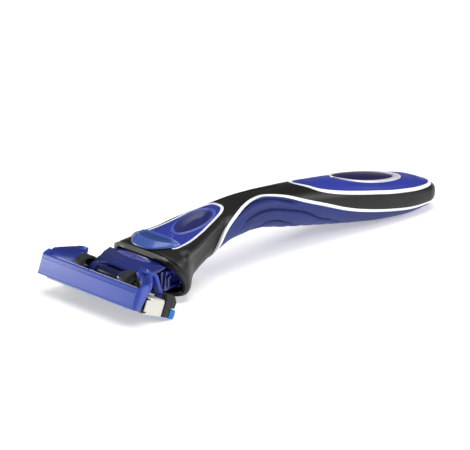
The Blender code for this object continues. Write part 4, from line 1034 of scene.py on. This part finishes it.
def ear(side):
    """Wing that rises from the bar's end to a rounded tip: a thick, dished sheet."""
    t_ = np.linspace(0, 1, 49)
    px_ = pchip([0, 0.16, 0.42, 0.66, 0.82, 0.92, 1], [20.75, 19.7, 17.3, 14.9, 13.1, 12.2, 11.75])(t_)
    pa_ = np.interp(t_, [0, 0.16, 0.42, 0.66, 0.8, 0.86, 0.93, 1], [2.3, 3.3, 5.2, 6.9, 7.5, 7.45, 6.95, 6.2])
    pa_ = np.convolve(np.pad(pa_, 2, mode="edge"), np.ones(5) / 5, mode="valid")
    rim = pchip([0, 0.1, 0.3, 0.6, 0.8, 0.9, 1], [7.75, 8.1, 8.95, 10.2, 10.95, 10.85, 9.95])(t_)
    foot = pchip([0, 0.2, 0.6, 0.8, 0.92, 1], [5.1, 5.0, 5.3, 6.5, 8.0, 8.9])(t_)
    ta, tx = np.gradient(pa_), np.gradient(px_)
    size = np.hypot(ta, tx)
    nx, na = ta / size, -tx / size       # outward in plan (towards +x and +a)
    w = np.linspace(0, 1, 25)[None, :]
    dish = (0.75 * np.sin(np.pi * w ** 0.8) * (0.35 + 0.65 * np.sin(np.pi * t_)[:, None]))
    lean = 0.9 * w ** 1.5
    n_ = foot[:, None] + (rim - foot)[:, None] * w
    inner_ = np.stack([px_[:, None] + nx[:, None] * (dish + lean), pa_[:, None] + na[:, None] * (dish + lean), n_], -1)
    inner_[..., 0] = np.minimum(inner_[..., 0], 20.4)
    thick = 0.95 - 0.4 * w
    outer_ = inner_ + np.stack([nx[:, None] * thick, na[:, None] * thick, 0 * n_], -1)
    outer_[..., 0] = np.minimum(outer_[..., 0], 20.98)
    inner_[..., 0], outer_[..., 0] = np.maximum(inner_[..., 0], 11.35), np.maximum(outer_[..., 0], 11.35)
    a, b = inner_.shape[:2]
    f = grid_faces(a, b) + [tuple(reversed(q)) for q in grid_faces(a, b, a * b)]
    loop_ = [j for j in range(b)] + [i * b + b - 1 for i in range(1, a)] + [(a - 1) * b + j for j in range(b - 2, -1, -1)] + [i * b for i in range(a - 2, 0, -1)]
    f += [(loop_[i], loop_[(i + 1) % len(loop_)], loop_[(i + 1) % len(loop_)] + a * b, loop_[i] + a * b) for i in range(len(loop_))]
    v = np.concatenate([inner_.reshape(-1, 3), outer_.reshape(-1, 3)])
    v[:, 0] *= side
    ob = outward(new_object(f"ear_{side}", v, f, M["carrier"]))
    return rounded(ob, 0.2, 3, 50)


def leg(side):
    """Band that loops from the ear's tip down to the hinge barrel."""
    t_ = np.linspace(0, 1, 45)
    knots = [0, 0.16, 0.32, 0.5, 0.7, 0.88, 1]
    cx = pchip(knots, [13.8, 14.2, 14.7, 15.3, 16.0, 16.5, 16.7])(t_)
    ca = pchip(knots, [8.0, 8.7, 9.5, 10.2, 11.0, 12.2, 12.8])(t_)
    cn = pchip(knots, [9.75, 10.2, 9.9, 8.7, 7.0, 5.4, 4.6])(t_)
    half_w = pchip([0, 0.3, 0.6, 1], [1.9, 1.85, 1.5, 1.3])(t_)
    half_t = pchip([0, 0.2, 0.6, 1], [0.5, 0.68, 0.68, 0.75])(t_)
    da, dn = np.gradient(ca), np.gradient(cn); size = np.hypot(da, dn)
    na, nn = -dn / size, da / size
    q = np.linspace(0, 2 * np.pi, 32, endpoint=False)
    cu, su = np.sign(np.cos(q)) * np.abs(np.cos(q)) ** 0.45, np.sign(np.sin(q)) * np.abs(np.sin(q)) ** 0.45
    dishing = -0.34 * (1 - np.abs(cu) ** 3) * (su > 0)          # hollow along the outer face, so its edges stand as ribs
    rows_ = np.stack([cx[:, None] + half_w[:, None] * cu, ca[:, None] + na[:, None] * (half_t[:, None] * su + dishing),
                      cn[:, None] + nn[:, None] * (half_t[:, None] * su + dishing)], -1)
    v = rows_.reshape(-1, 3); v[:, 0] *= side
    f = grid_faces(45, 32, close=True) + [tuple(range(32)), tuple(range(44 * 32, 45 * 32))]
    ob = outward(new_object(f"leg_{side}", v, f, M["carrier"]))
    barrel = rounded(rod("barrel", sorted((side * 15.4, side * 18.0)), HINGE, 1.45, M["carrier"], 48), 0.2)
    cut(ob, barrel, "UNION")
    cut(ob, rod("pin_hole", sorted((side * 16.4, side * 18.5)), HINGE, 0.95, None, 36))
    return ob


for side in (-1, 1):
    bar = join(bar, ear(side), leg(side))
shade(bar)
to_head(bar)
settle(bar, "gel_carrier_body", "gel_carrier")

strip = block("gel_body", (-17.0, 17.0), (0.8, 1.7), (-0.3, 1.7), M["gel"])
for x in np.arange(-16.2, 16.5, 0.9):
    cut(strip, block("gel_groove", (x - 0.09, x + 0.09), (0.6, 1.9), (-0.5, -0.18))) if abs(x) < 16.3 else None
head_piece(strip, "gel_carrier_body", "gel_strip", 0.1)
for side, word in ((-1, "left"), (1, "right")):
    pin = rod(f"hinge_{word}", sorted((side * 16.7, side * 19.9)), HINGE, 0.65, M["steel"], 32)
    head_piece(pin, "gel_carrier_body", f"hinge_pin_{word}", 0.12)


# ---------------------------------------------------------------- stage, light, camera
floor_mesh = bpy.data.meshes.new("floor")
floor_mesh.from_pydata([(-3, -3, 0), (3, -3, 0), (3, 3, 0), (-3, 3, 0)], [], [(0, 1, 2, 3)])
floor = bpy.data.objects.new("floor", floor_mesh)
collection.objects.link(floor)
floor.location.z = -0.0001
fmat, ftree, fb = principled("floor_paper", (0.93, 0.93, 0.935), 0.9)
fb.inputs["Emission Color"].default_value = (1, 1, 1, 1)
fb.inputs["Emission Strength"].default_value = 0.35
floor_mesh.materials.append(fmat)

world = bpy.data.worlds.new("studio")
bpy.context.scene.world = world
world.use_nodes = True
world.node_tree.nodes["Background"].inputs["Color"].default_value = (0.96, 0.98, 1.0, 1)
world.node_tree.nodes["Background"].inputs["Strength"].default_value = 0.14


def area(name, location, target, size, power, colour=(1, 1, 1)):
    light = bpy.data.lights.new(name, "AREA")
    light.shape = "RECTANGLE"; light.size, light.size_y = size
    light.energy = power; light.color = colour
    ob = bpy.data.objects.new(name, light)
    collection.objects.link(ob)
    ob.location = location
    ob.rotation_euler = (Vector(target) - Vector(location)).to_track_quat("-Z", "Y").to_euler()
    return ob


area("overhead_softbox", (0.1, -0.15, 1.0), (0, 0, 0), (0.9, 0.9), 8.5)
area("left_softbox", (-0.86, -0.52, 0.22), (0, -0.03, 0.01), (0.36, 0.36), 1.9)
area("near_card", (-0.46, -0.33, 0.10), (0, -0.06, 0.01), (0.12, 0.12), 0.5)
area("right_softbox", (0.62, 0.46, 0.42), (0, 0, 0.01), (0.45, 0.4), 4.0)

camera = bpy.data.objects.new("camera", bpy.data.cameras.new("camera"))
collection.objects.link(camera)
camera.data.lens, camera.data.sensor_width = 169.2, 36
az, el, far = math.radians(45.9), math.radians(19.1), 0.65
target = Vector((0, -0.0143 + 0.0012, 0.0117))
back_dir = Vector((math.sin(az) * math.cos(el), -math.cos(az) * math.cos(el), math.sin(el)))
camera.location = target + back_dir * far
camera.rotation_euler = back_dir.to_track_quat("Z", "Y").to_euler()
bpy.context.scene.camera = camera
bpy.context.scene.view_settings.view_transform = "Standard"
